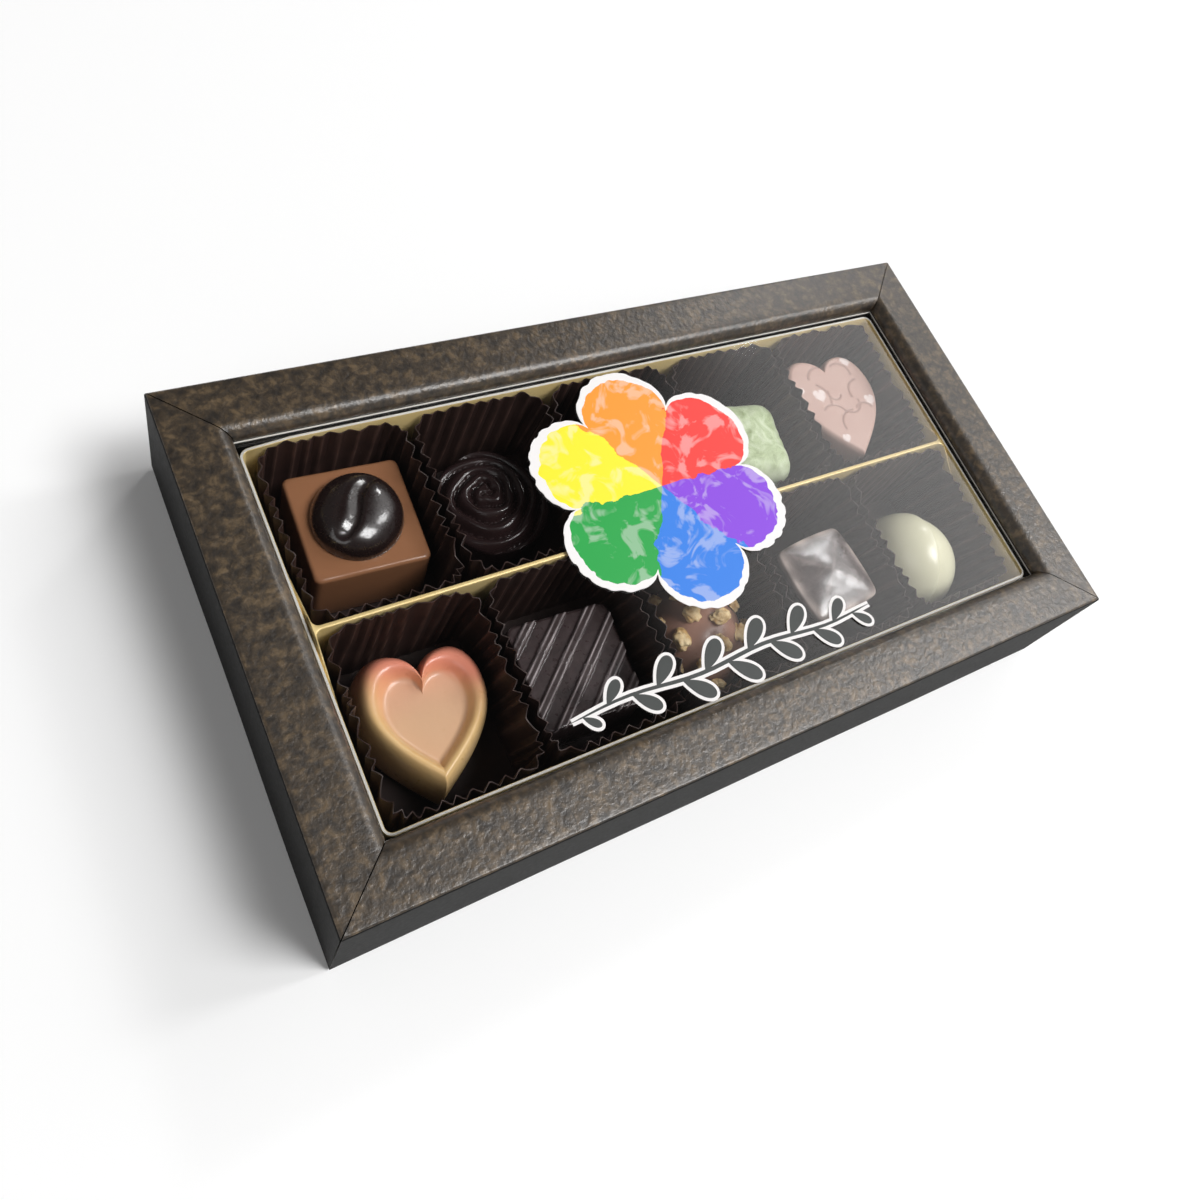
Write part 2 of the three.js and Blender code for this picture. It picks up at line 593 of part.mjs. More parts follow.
CHOCOLATES.forEach(({ name, at: [column, row], shift, form, look }) => {
  const place = new THREE.Group();
  place.position.set((column - (columns - 1) / 2) * columnPitch, (2 * row - 1) * rowOffset, 0);
  base.add(place);
  piece(place, `cup_${name}`, paperCup(), BROWN_PAPER).position.z = cupBottom;
  piece(place, name, form, look).position.set(...shift, chocolateBottom);
  TOPPINGS.filter(({ on }) => on === name).forEach((topping) => {
    const mesh = piece(place, topping.name, topping.form, topping.look);
    mesh.position.set(...shift, chocolateBottom + topping.lift);
  });
});

SIDES.forEach(({ side, turn, long }) => {
  const [flare, next] = long ? [FLARE_LONG, FLARE_SHORT] : [FLARE_SHORT, FLARE_LONG];
  const rail = mitredRail(lidSection(flare), seenFrom(lidTop, long), next / flare);
  piece(lid, `frame_rail_${side}`, rail, BRONZE_CARD).rotation.z = turn * DEGREE;
});

// Mitre tabs under the corners of the frame, between its outer fold and its rolled edge
const tabSide = FRAME_FACE - 2 * TAB_INSET;
const tabTop = frameTop - LID_CARD - GLUE;
[['front', 'left'], ['front', 'right'], ['back', 'left'], ['back', 'right']].forEach(([end, side]) => {
  const x = (side === 'left' ? -1 : 1) * (lidTop.x - TAB_INSET - tabSide / 2);
  const y = (end === 'front' ? -1 : 1) * (lidTop.y - TAB_INSET - tabSide / 2);
  const tab = new THREE.BoxGeometry(tabSide, tabSide, LID_CARD);
  piece(lid, `mitre_tab_${end}_${side}`, tab, CHARCOAL_CARD).position.set(x, y, tabTop - LID_CARD / 2);
});

const filmHalf = grow(opening, GLUE_FLANGE - FILM_INSET);
const film = sheet(roundedRect(filmHalf.x, filmHalf.y, TRAY_CORNER), WINDOW_FILM, filmBottom);
piece(lid, 'window_film', film, colour(0xe8eef0, 0.05));
piece(lid, 'flower_sticker', flowerSticker(), colour(0xf4f2ee, 0.4));
piece(lid, 'sprig_sticker', sprigSticker(), colour(0xf4f2ee, 0.4));

export default box;
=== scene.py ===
"""Looks of a box of chocolates: a windowed card lid over a gold tray of chocolates in pleated paper cups.

Shapes are worked out in millimetres as whole arrays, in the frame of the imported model: X along the rows,
Y to the back, Z up. Sizes in the classes are millimetres, unless they are shares. Angles
are degrees, unless a docstring says radians. Meshes and textures are in metres.
"""

import logging
import math
from dataclasses import dataclass
from enum import Enum
from typing import Sequence

import bpy
import numpy as np
from mathutils import Matrix, Vector


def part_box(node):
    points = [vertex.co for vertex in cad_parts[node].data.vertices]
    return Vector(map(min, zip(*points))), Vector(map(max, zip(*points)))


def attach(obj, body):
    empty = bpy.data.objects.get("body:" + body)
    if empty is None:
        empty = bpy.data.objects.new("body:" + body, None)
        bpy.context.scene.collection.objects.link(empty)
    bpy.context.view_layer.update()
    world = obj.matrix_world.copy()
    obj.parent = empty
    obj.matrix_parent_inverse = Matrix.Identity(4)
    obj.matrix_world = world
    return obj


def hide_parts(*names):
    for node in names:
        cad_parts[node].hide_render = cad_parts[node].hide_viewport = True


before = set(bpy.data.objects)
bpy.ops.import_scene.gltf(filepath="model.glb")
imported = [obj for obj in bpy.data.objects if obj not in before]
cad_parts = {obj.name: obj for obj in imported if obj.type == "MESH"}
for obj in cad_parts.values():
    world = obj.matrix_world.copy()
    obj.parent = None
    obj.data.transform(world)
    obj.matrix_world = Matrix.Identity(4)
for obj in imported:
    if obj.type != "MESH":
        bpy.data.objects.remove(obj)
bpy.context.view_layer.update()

Array = np.ndarray
Socket = bpy.types.NodeSocket
Tree = bpy.types.NodeTree
Piece = bpy.types.Object

log = logging.getLogger("chocolate_box")
MM = 0.001
FULL_TURN = 2 * np.pi
# Share of the outline that the last ring keeps, where a top closes in a point
POLE = 0.012
# Refractive index of cocoa butter
CHOCOLATE_INDEX = 1.46
# Sockets of a colour mix, which have numbers only: factor, two colours and their mix
FACTOR, FIRST, SECOND, MIXED = 0, 6, 7, 2


class Body(Enum):
    """Bodies of the box that a piece rides on."""

    BASE = "base"
    LID = "lid"


class Cap(Enum):
    """How the first and last ring of a body are closed."""

    FAN = "fan"
    POLYGON = "polygon"


class Side(Enum):
    """Sides of the box, with the turn in quarters that takes the front there."""

    FRONT = 0
    RIGHT = 1
    BACK = 2
    LEFT = 3

    @property
    def node(self) -> str:
        """Name of the lid rail on this side."""
        return f"frame_rail_{self.name.lower()}"

    @property
    def is_long(self) -> bool:
        """True for the front and the back."""
        return self.value % 2 == 0


class Kind(Enum):
    """Kinds of shader node, by Blender's names."""

    ATTRIBUTE = "ShaderNodeAttribute"
    BACKGROUND = "ShaderNodeBackground"
    BUMP = "ShaderNodeBump"
    CLEAR = "ShaderNodeBsdfTransparent"
    COORDINATES = "ShaderNodeTexCoord"
    FRESNEL = "ShaderNodeFresnel"
    GEOMETRY = "ShaderNodeNewGeometry"
    GLOSSY = "ShaderNodeBsdfGlossy"
    MAPPING = "ShaderNodeMapping"
    MAP_RANGE = "ShaderNodeMapRange"
    MATH = "ShaderNodeMath"
    MIX = "ShaderNodeMix"
    MIX_SHADER = "ShaderNodeMixShader"
    NOISE = "ShaderNodeTexNoise"
    PRINCIPLED = "ShaderNodeBsdfPrincipled"
    RAMP = "ShaderNodeValToRGB"
    SEPARATE = "ShaderNodeSeparateXYZ"
    VALUE = "ShaderNodeValue"
    VECTOR_MATH = "ShaderNodeVectorMath"
    VORONOI = "ShaderNodeTexVoronoi"


# Arrays


def box_mm(node: str) -> tuple[Array, Array]:
    """Lowest and highest corner of a CAD node, in millimetres."""
    low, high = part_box(node)
    return np.array(low) / MM, np.array(high) / MM


def smoothstep(low: float, high: float, value: Array) -> Array:
    """Soft step from 0 at low to 1 at high: 3t^2 - 2t^3."""
    t = np.clip((value - low) / (high - low), 0, 1)
    return t * t * (3 - 2 * t)


def bell(value: Array, middle: Array | float, width: Array | float) -> Array:
    """Bell curve that is 1 at its middle: e to the minus square of the distance in widths."""
    return np.exp(-(((value - middle) / width) ** 2))


def ripple(points: Array, wavelength: float, seed: int, waves: int = 7) -> Array:
    """Smooth random relief: a sum of sine waves of one wavelength in random directions.

    Args:
        points: places, with the coordinates in the last axis.
        wavelength: length of a wave, in the units of the places.
        seed: seed of the directions and phases.
        waves: number of waves.

    Returns:
        The relief at each place, mostly from -1 to 1.
    """
    rng = np.random.default_rng(seed)
    turns = rng.normal(size=(waves, points.shape[-1]))
    turns *= FULL_TURN / wavelength / np.linalg.norm(turns, axis=1, keepdims=True)
    phases = rng.uniform(0, FULL_TURN, waves)
    return np.sin(points @ turns.T + phases).sum(-1) / math.sqrt(waves)


def rounded_rects(
    half_x: Array, half_y: Array, radius: Array, corner_steps: int = 8, side_steps: int = 20
) -> Array:
    """Rectangles with round corners, anticlockwise, one for each entry: four arcs joined by straight sides.

    Args:
        half_x: half lengths.
        half_y: half widths.
        radius: corner radii.
        corner_steps: steps on a corner.
        side_steps: steps on a side.

    Returns:
        The rings' points, by ring and point.
    """
    half_x, half_y, radius = np.broadcast_arrays(*np.atleast_1d(half_x, half_y, radius))
    angle = (np.arange(4)[:, None] + np.linspace(0, 1, corner_steps + 1)) * np.pi / 2
    sign = np.array([(1, 1), (-1, 1), (-1, -1), (1, -1)])
    middle = np.stack([half_x - radius, half_y - radius], -1)[:, None, :] * sign
    arcs = middle[:, :, None] + radius[:, None, None, None] * np.stack([np.cos(angle), np.sin(angle)], -1)
    share = np.linspace(0, 1, side_steps + 1)[1:-1, None]
    start, stop = arcs[:, :, -1:], np.roll(arcs, -1, axis=1)[:, :, :1]
    return np.concatenate([arcs, start + (stop - start) * share], 2).reshape(len(half_x), -1, 2)


def resample(points: Array, count: int) -> Array:
    """Closed line through points, cut at equal steps.

    Args:
        points: points of the line.
        count: number of points to give.

    Returns:
        The new points, from the line's first point on.
    """
    closed = np.concatenate([points, points[:1]])
    along = np.concatenate([[0], np.cumsum(np.linalg.norm(np.diff(closed, axis=0), axis=1))])
    at = np.linspace(0, along[-1], count, endpoint=False)
    return np.stack([np.interp(at, along, closed[:, axis]) for axis in range(2)], -1)


def bezier(handles: Sequence[tuple[float, float]], count: int = 60) -> Array:
    """Cubic curve: four handles weighted by the terms of ((1 - t) + t)^3.

    Args:
        handles: start, two handles and end.
        count: number of points.

    Returns:
        Points from the start on, without the end.
    """
    t = np.linspace(0, 1, count, endpoint=False)[:, None]
    a, b, c, d = np.array(handles, float)
    return (1 - t) ** 3 * a + 3 * (1 - t) ** 2 * t * b + 3 * (1 - t) * t**2 * c + t**3 * d


def heart_outline(width: float, length: float, notch: float, count: int) -> Array:
    """Heart with its tip to the front, anticlockwise from the tip: three cubic curves and their mirror image.

    Args:
        width: size along X.
        length: size along Y.
        notch: depth of the notch at the back.
        count: an even number of points.

    Returns:
        The outline's points.
    """
    w, h = width / 2, length / 2
    right = np.concatenate([
        bezier([(0, -h), (0.34 * w, -0.7 * h), (w, -0.24 * h), (w, 0.32 * h)]),
        bezier([(w, 0.32 * h), (w, 0.76 * h), (0.76 * w, h), (0.5 * w, h)]),
        bezier([(0.5 * w, h), (0.24 * w, h), (0.06 * w, 0.86 * h), (0, h - notch)]),
        [(0, h - notch)],
    ])
    return resample(np.concatenate([right, right[-2:0:-1] * (-1, 1)]), count)


def round_outline(count: int) -> Array:
    """Circle of radius 1, anticlockwise."""
    angle = np.arange(count) * FULL_TURN / count
    return np.stack([np.cos(angle), np.sin(angle)], -1)


def arc(
    x: float, y: float, reach_x: float, reach_y: float, start: float, stop: float, steps: int = 8
) -> Array:
    """Elliptic arc about a middle, between two angles in quarter turns."""
    angle = np.linspace(start, stop, steps + 1) * np.pi / 2
    return np.stack([x + reach_x * np.cos(angle), y + reach_y * np.sin(angle)], -1)


def cut_corners(profile: Array, rounds: int = 3) -> Array:
    """Smooth a profile: cut each corner at a quarter of its sides, again and again.

    Args:
        profile: points of an open line.
        rounds: how often the corners are cut.

    Returns:
        The smooth line, with the same ends.
    """
    for _ in range(rounds):
        a, b = profile[:-1], profile[1:]
        between = np.stack([0.75 * a + 0.25 * b, 0.25 * a + 0.75 * b], 1).reshape(-1, 2)
        profile = np.concatenate([profile[:1], between[1:-1], profile[-1:]])
    return profile


def inward_normals(outlines: Array) -> Array:
    """Unit vectors that point inwards from closed anticlockwise lines: the line's direction, turned left.

    Args:
        outlines: points of one line or more, by point in the last axis but one.

    Returns:
        A vector for each point.
    """
    along = np.roll(outlines, -1, -2) - np.roll(outlines, 1, -2)
    along /= np.maximum(np.linalg.norm(along, axis=-1, keepdims=True), 1e-6)
    return np.stack([-along[..., 1], along[..., 0]], -1)


def stack(outlines: Array, heights: Array) -> Array:
    """Rings in space: outlines by ring and point, and a height for each ring or for each point."""
    z = np.broadcast_to(heights.reshape(len(outlines), -1), outlines.shape[:2])
    return np.concatenate([outlines, z[..., None]], -1)


def turned(points: Array, degrees: float, move: Sequence[float] = (0, 0, 0)) -> Array:
    """Points turned about the Z axis and then moved.

    Args:
        points: places, with the coordinates in the last axis.
        degrees: turn, anticlockwise from above.
        move: way to go along the axes.

    Returns:
        The new places.
    """
    a = math.radians(degrees)
    turn = np.array([(math.cos(a), math.sin(a), 0), (-math.sin(a), math.cos(a), 0), (0, 0, 1)])
    return points @ turn + np.array(move)


# Meshes


def make_piece(
    name: str, points: Array, faces: list, finishes: Sequence["Finish"], face_finish: Array | None = None,
    attributes: dict[str, Array] | None = None, crease: float = 45,
) -> Piece:
    """Object at the origin from points in millimetres.

    Args:
        name: name of the piece.
        points: vertices.
        faces: vertex numbers of each face.
        finishes: finishes of the material slots.
        face_finish: slot of each face, or none for the first slot.
        attributes: a number for each vertex, by name.
        crease: angle in degrees past which an edge stays sharp.

    Returns:
        The new object.
    """
    mesh = bpy.data.meshes.new(name)
    mesh.from_pydata((points * MM).tolist(), [], faces)
    for finish in finishes:
        mesh.materials.append(finish.material())
    if face_finish is not None:
        mesh.polygons.foreach_set("material_index", np.ascontiguousarray(face_finish, np.int32))
    for key, values in (attributes or {}).items():
        mesh.attributes.new(key, "FLOAT", "POINT").data.foreach_set("value", values.astype(np.float32))
    mesh.polygons.foreach_set("use_smooth", np.ones(len(faces), bool))
    mesh.set_sharp_from_angle(angle=math.radians(crease))
    mesh.update()
    piece = bpy.data.objects.new(name, mesh)
    bpy.context.scene.collection.objects.link(piece)
    return piece


def ring_body(
    name: str, rings: Array, finishes: Sequence["Finish"], bands: Array | None = None,
    attributes: dict[str, Array] | None = None, cap: Cap = Cap.FAN, crease: float = 45,
) -> Piece:
    """Closed body through rings of points, each anticlockwise as seen from the last ring's side.

    Args:
        name: name of the piece.
        rings: points by ring and place on the ring.
        finishes: finishes of the material slots.
        bands: slot of each face between two rings, by ring and place, or a form that spreads to that.
        attributes: a number for each point of the rings, by name.
        cap: how the two ends are closed.
        crease: angle in degrees past which an edge stays sharp.

    Returns:
        The new object.
    """
    ring_count, count = rings.shape[:2]
    index = np.arange(ring_count * count).reshape(ring_count, count)
    following = np.roll(index, -1, axis=1)
    quads = np.stack([index[:-1], following[:-1], following[1:], index[1:]], -1).reshape(-1, 4)
    slots = np.broadcast_to(0 if bands is None else bands, (ring_count - 1, count))
    points, values = rings.reshape(-1, 3), {key: v.reshape(-1) for key, v in (attributes or {}).items()}
    if cap is Cap.FAN:
        first, last = ring_count * count, ring_count * count + 1
        start = np.stack([following[0], index[0], np.full(count, first)], -1)
        end = np.stack([index[-1], following[-1], np.full(count, last)], -1)
        points = np.concatenate([points, rings[0].mean(0, keepdims=True), rings[-1].mean(0, keepdims=True)])
        values = {key: np.append(v, (v[:count].mean(), v[-count:].mean())) for key, v in values.items()}
        ends, end_slots = [*start.tolist(), *end.tolist()], np.concatenate([slots[0], slots[-1]])
    else:
        ends, end_slots = [index[0, ::-1].tolist(), index[-1].tolist()], np.zeros(2, int)
    faces = [*quads.tolist(), *ends]
    face_slots = np.concatenate([slots.reshape(-1), end_slots])
    return make_piece(name, points, faces, finishes, face_slots, values, crease)


def prisms(name: str, outlines: Array, low: Array, high: Array, finish: "Finish") -> Piece:
    """Flat bodies of one mesh, each an outline between two heights.

    Args:
        name: name of the piece.
        outlines: points by body and place, anticlockwise.
        low: height of each underside.
        high: height of each top.
        finish: finish of the bodies.

    Returns:
        The new object.
    """
    bodies, count = outlines.shape[:2]
    points = np.stack([stack(outlines, np.broadcast_to(z, bodies).astype(float)) for z in (low, high)], 1)
    index = np.arange(bodies * 2 * count).reshape(bodies, 2, count)
    following = np.roll(index, -1, axis=2)
    sides = np.stack([index[:, 0], following[:, 0], following[:, 1], index[:, 1]], -1).reshape(-1, 4)
    faces = [*sides.tolist(), *index[:, 0, ::-1].tolist(), *index[:, 1].tolist()]
    return make_piece(name, points.reshape(-1, 3), faces, [finish])


def wavy_sheet(name: str, x: Array, y: Array, low: Array, high: Array, finish: "Finish") -> Piece:
    """Closed sheet between two height fields on one grid.

    Args:
        name: name of the piece.
        x: places along X.
        y: places along Y.
        low: heights of the underside, by place along Y and X.
        high: heights of the top.
        finish: finish of the sheet.

    Returns:
        The new object.
    """
    place = np.stack(np.meshgrid(x, y), -1)
    points = np.concatenate([np.dstack([place, z]).reshape(-1, 3) for z in (high, low)])
    top = np.arange(x.size * y.size).reshape(y.size, x.size)
    quads = np.stack([top[:-1, :-1], top[:-1, 1:], top[1:, 1:], top[1:, :-1]], -1).reshape(-1, 4)
    edge = np.concatenate([top[0, :-1], top[:-1, -1], top[-1, :0:-1], top[:0:-1, 0]])
    following = np.roll(edge, -1)
    sides = np.stack([edge + top.size, following + top.size, following, edge], -1)
    faces = np.concatenate([quads, quads[:, ::-1] + top.size, sides])
    return make_piece(name, points, faces.tolist(), [finish])


def install(piece: Piece, body: Body, slot: str, *nodes: str) -> Piece:
    """Let a piece ride on its body and let it stand for CAD nodes.

    Args:
        piece: the piece.
        body: body that carries it.
        slot: name of its material slot; not used.
        nodes: CAD nodes that it replaces.

    Returns:
        The piece.
    """
    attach(piece, body.value)
    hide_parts(*nodes)
    stands_for = ", ".join(nodes) or "nothing"
    log.info("%s: %d faces, stands for %s", piece.name, len(piece.data.polygons), stands_for)
    return piece


# Finishes


def linear(colour: str) -> tuple[float, float, float, float]:
    """Linear colour of an sRGB hex value, by the sRGB transfer curve.

    Args:
        colour: hex value with its leading mark.

    Returns:
        Red, green, blue and an alpha of 1.
    """
    srgb = np.array([int(colour[i:i + 2], 16) for i in (1, 3, 5)]) / 255
    rgb = np.where(srgb <= 0.04045, srgb / 12.92, ((srgb + 0.055) / 1.055) ** 2.4)
    return (*rgb.tolist(), 1.0)


def node(
    tree: Tree, kind: Kind, inputs: dict | None = None, out: int | str = 0,
    ramp: Sequence[tuple[float, str]] = (), **settings: object,
) -> Socket:
    """Add a node with its settings and links.

    Args:
        tree: node tree of a material or of the world.
        kind: kind of node.
        inputs: a value, or a socket to link, for each input by name or number.
        out: name or number of the output to give back.
        ramp: places and colours of a colour ramp.
        settings: the node's own properties.

    Returns:
        The output.
    """
    made = tree.nodes.new(kind.value)
    for key, value in settings.items():
        setattr(made, key, value)
    for key, value in (inputs or {}).items():
        if isinstance(value, Socket):
            tree.links.new(value, made.inputs[key])
        else:
            made.inputs[key].default_value = value
    for i, (place, colour) in enumerate(ramp):
        stops = made.color_ramp.elements
        stop = stops[i] if i < len(stops) else stops.new(place)
        stop.position, stop.color = place, linear(colour)
    return made.outputs[out]


def per_mm(size: float) -> float:
    """Scale of a texture whose features are so many millimetres across, on coordinates in metres."""
    return 1 / (size * MM)


@dataclass(frozen=True)
class Finish:
    """Surface finish: a name, and the material that its surface method gives."""

    name: str

    def material(self) -> bpy.types.Material:
        """Blender's material of this finish, made on first use.

        Returns:
            The material.
        """
        made = bpy.data.materials.get(self.name)
        if made is None:
            made = bpy.data.materials.new(self.name)
            made.use_nodes = True
            tree = made.node_tree
            tree.nodes.clear()
            output = tree.nodes.new("ShaderNodeOutputMaterial")
            tree.links.new(self.surface(tree), output.inputs["Surface"])
        return made

    def surface(self, tree: Tree) -> Socket:
        """Shader of the finish."""
        raise NotImplementedError


@dataclass(frozen=True)
class GrainedCard(Finish):
    """Embossed and varnished card with a leather grain: mottled bronze patches parted by shallow creases,
    darkened there as painted shade.

    The varnish over a print with a little metal in it gives a broad, soft sheen.
    """

    dark: str = "#20180f"
    low: str = "#3d3122"
    high: str = "#66543c"
    shades: tuple[float, float, float] = (0.38, 0.54, 0.72)
    grain: float = 2.3
    crease: float = 0.34
    sway: float = 1.8
    sway_size: float = 1.6
    fine: float = 0.9
    mottle: float = 2.7
    patch_rise: float = 0.3
    # Painted shade in the creases: how much lighter the patches are than the creases
    crease_shade: float = 0.08
    depth: float = 0.085
    metal: float = 0.2
    dull: tuple[float, float] = (0.62, 0.44)
    varnish: float = 0.7
    varnish_index: float = 1.6
    varnish_roughness: float = 0.32

    def surface(self, tree: Tree) -> Socket:
        """Cell edges, pushed about by noise, press the creases and darken them as painted shade; noise
        mottles the patches.

        Args:
            tree: node tree of the material.

        Returns:
            The shader.
        """
        place = node(tree, Kind.COORDINATES, out="Object")
        sway = node(tree, Kind.NOISE, {"Vector": place, "Scale": per_mm(self.sway_size), "Detail": 3.0},
                    "Color")
        pushed = node(tree, Kind.VECTOR_MATH, {0: sway, 1: (self.sway * MM,) * 3, 2: place},
                      operation="MULTIPLY_ADD")
        cells = node(tree, Kind.VORONOI, {"Vector": pushed, "Scale": per_mm(self.grain)}, "Distance",
                     feature="DISTANCE_TO_EDGE")
        patch = node(tree, Kind.MAP_RANGE, {"Value": cells, "From Max": self.crease},
                     interpolation_type="SMOOTHSTEP")
        fine = node(tree, Kind.NOISE, {"Vector": place, "Scale": per_mm(self.fine), "Detail": 3.0})
        height = node(tree, Kind.MATH, {0: patch, 1: self.patch_rise, 2: fine}, operation="MULTIPLY_ADD")
        blotches = node(tree, Kind.NOISE, {"Vector": place, "Scale": per_mm(self.mottle), "Detail": 5.0,
                                           "Roughness": 0.66, "Distortion": 0.4})
        # Painted shade: the colour darkens towards the creases, over the card's own blotchy mottle
        light = node(tree, Kind.MATH, {0: patch, 1: self.crease_shade, 2: blotches}, operation="MULTIPLY_ADD")
        shades = list(zip(self.shades, (self.dark, self.low, self.high)))
        colour = node(tree, Kind.RAMP, {0: light}, ramp=shades)
        dull = node(tree, Kind.MAP_RANGE, {"Value": height, "From Max": 1 + self.patch_rise,
                                           "To Min": self.dull[0], "To Max": self.dull[1]})
        bump = node(tree, Kind.BUMP, {"Height": height, "Distance": self.depth * MM})
        return node(tree, Kind.PRINCIPLED, {
            "Base Color": colour, "Roughness": dull, "Metallic": self.metal, "Coat Weight": self.varnish,
            "Coat IOR": self.varnish_index, "Coat Roughness": self.varnish_roughness, "Normal": bump,
            "Coat Normal": bump})


@dataclass(frozen=True)
class SmoothCard(Finish):
    """Printed satin card: a plain colour with faint fibres, and dull where it is rubbed."""

    colour: str = "#0d0d0c"
    worn: str = "#171615"
    roughness: float = 0.6
    spread: float = 0.1
    fibre: float = 0.9
    cloud: float = 16.0
    depth: float = 0.02
    shine: float = 0.08

    def surface(self, tree: Tree) -> Socket:
        """Noise of fibre size lightens the print a little and roughens it.

        Args:
            tree: node tree of the material.

        Returns:
            The shader.
        """
        place = node(tree, Kind.COORDINATES, out="Object")
        fibres = node(tree, Kind.NOISE, {"Vector": place, "Scale": per_mm(self.fibre), "Detail": 5.0})
        cloud = node(tree, Kind.NOISE, {"Vector": place, "Scale": per_mm(self.cloud), "Detail": 2.0})
        both = node(tree, Kind.MATH, {0: fibres, 1: cloud}, operation="MULTIPLY")
        colour = node(tree, Kind.MIX, {FACTOR: both, FIRST: linear(self.colour), SECOND: linear(self.worn)},
                      MIXED, data_type="RGBA")
        dull = node(tree, Kind.MAP_RANGE, {"Value": fibres, "To Min": self.roughness - self.spread,
                                           "To Max": self.roughness + self.spread})
        bump = node(tree, Kind.BUMP, {"Height": fibres, "Distance": self.depth * MM})
        return node(tree, Kind.PRINCIPLED, {
            "Base Color": colour, "Roughness": dull, "Specular IOR Level": self.shine, "Normal": bump})


@dataclass(frozen=True)
class GoldFoil(Finish):
    """Lacquered gold foil on card: part metal, part paint, its mirror broken up by the card's fibres."""

    colour: str = "#f0dca4"
    deep: str = "#e0c27e"
    cloud: float = 12.0
    fibre: float = 1.1
    depth: float = 0.03
    metal: float = 0.25
    dull: tuple[float, float] = (0.32, 0.48)

    def surface(self, tree: Tree) -> Socket:
        """Slow noise tints the foil, and fine noise roughens and dents it.

        Args:
            tree: node tree of the material.

        Returns:
            The shader.
        """
        place = node(tree, Kind.COORDINATES, out="Object")
        cloud = node(tree, Kind.NOISE, {"Vector": place, "Scale": per_mm(self.cloud), "Detail": 3.0})
        colour = node(tree, Kind.MIX, {FACTOR: cloud, FIRST: linear(self.colour), SECOND: linear(self.deep)},
                      MIXED, data_type="RGBA")
        fibres = node(tree, Kind.NOISE, {"Vector": place, "Scale": per_mm(self.fibre), "Detail": 4.0})
        dull = node(tree, Kind.MAP_RANGE, {"Value": fibres, "To Min": self.dull[0], "To Max": self.dull[1]})
        bump = node(tree, Kind.BUMP, {"Height": fibres, "Distance": self.depth * MM})
        return node(tree, Kind.PRINCIPLED, {
            "Base Color": colour, "Metallic": self.metal, "Roughness": dull, "Normal": bump})


@dataclass(frozen=True)
class PleatedPaper(Finish):
    """Glazed dark paper, crimped hot: satin walls whose folds are polished, with a pale painted highlight on
    them.
    """

    colour: str = "#1c100d"
    wall: str = "#39241f"
    # Colour of the painted highlight on the pleats' crests
    fold: str = "#6b534b"
    cloud: float = 4.0
    depth: float = 0.03
    dull: tuple[float, float] = (0.58, 0.34)
    shine: float = 0.35

    def surface(self, tree: Tree) -> Socket:
        """The fold attribute polishes the creases and paints a pale highlight on them, and noise clouds the
        walls.

        Args:
            tree: node tree of the material.

        Returns:
            The shader.
        """
        place = node(tree, Kind.COORDINATES, out="Object")
        cloud = node(tree, Kind.NOISE, {"Vector": place, "Scale": per_mm(self.cloud), "Detail": 4.0})
        fold = node(tree, Kind.ATTRIBUTE, out="Fac", attribute_name="fold")
        walls = node(tree, Kind.MIX, {FACTOR: cloud, FIRST: linear(self.colour), SECOND: linear(self.wall)},
                     MIXED, data_type="RGBA")
        # Painted highlight: the pale fold colour on the crests, broken up by the cloud noise
        worn = node(tree, Kind.MATH, {0: fold, 1: cloud}, operation="MULTIPLY")
        colour = node(tree, Kind.MIX, {FACTOR: worn, FIRST: walls, SECOND: linear(self.fold)}, MIXED,
                      data_type="RGBA")
        dull = node(tree, Kind.MAP_RANGE, {"Value": fold, "To Min": self.dull[0], "To Max": self.dull[1]})
        bump = node(tree, Kind.BUMP, {"Height": cloud, "Distance": self.depth * MM})
        return node(tree, Kind.PRINCIPLED, {
            "Base Color": colour, "Roughness": dull, "Specular IOR Level": self.shine, "Normal": bump})


@dataclass(frozen=True)
class TemperedChocolate(Finish):
    """Moulded chocolate: a satin skin, clouded by bloom, with small pits and rubbed spots."""

    colour: str = "#8f5f42"
    shade: str = "#7a4c34"
    roughness: float = 0.34
    spread: float = 0.08
    cloud: float = 8.0
    skin: float = 1.6
    depth: float = 0.05
    gloss: float = 0.0
    gloss_roughness: float = 0.12
    shine: float = 0.5

    def surface(self, tree: Tree) -> Socket:
        """Slow noise mixes two browns, and fine noise dents and dulls the skin.

        Args:
            tree: node tree of the material.

        Returns:
            The shader.
        """
        place = node(tree, Kind.COORDINATES, out="Object")
        cloud = node(tree, Kind.NOISE, {"Vector": place, "Scale": per_mm(self.cloud), "Detail": 4.0})
        colour = node(tree, Kind.MIX, {FACTOR: cloud, FIRST: linear(self.colour), SECOND: linear(self.shade)},
                      MIXED, data_type="RGBA")
        skin = node(tree, Kind.NOISE, {"Vector": place, "Scale": per_mm(self.skin), "Detail": 3.0})
        dull = node(tree, Kind.MAP_RANGE, {"Value": skin, "To Min": self.roughness - self.spread,
                                           "To Max": self.roughness + self.spread})
        bump = node(tree, Kind.BUMP, {"Height": skin, "Distance": self.depth * MM})
        return node(tree, Kind.PRINCIPLED, {
            "Base Color": colour, "Roughness": dull, "IOR": CHOCOLATE_INDEX, "Specular IOR Level": self.shine,
            "Coat Weight": self.gloss, "Coat Roughness": self.gloss_roughness, "Normal": bump})


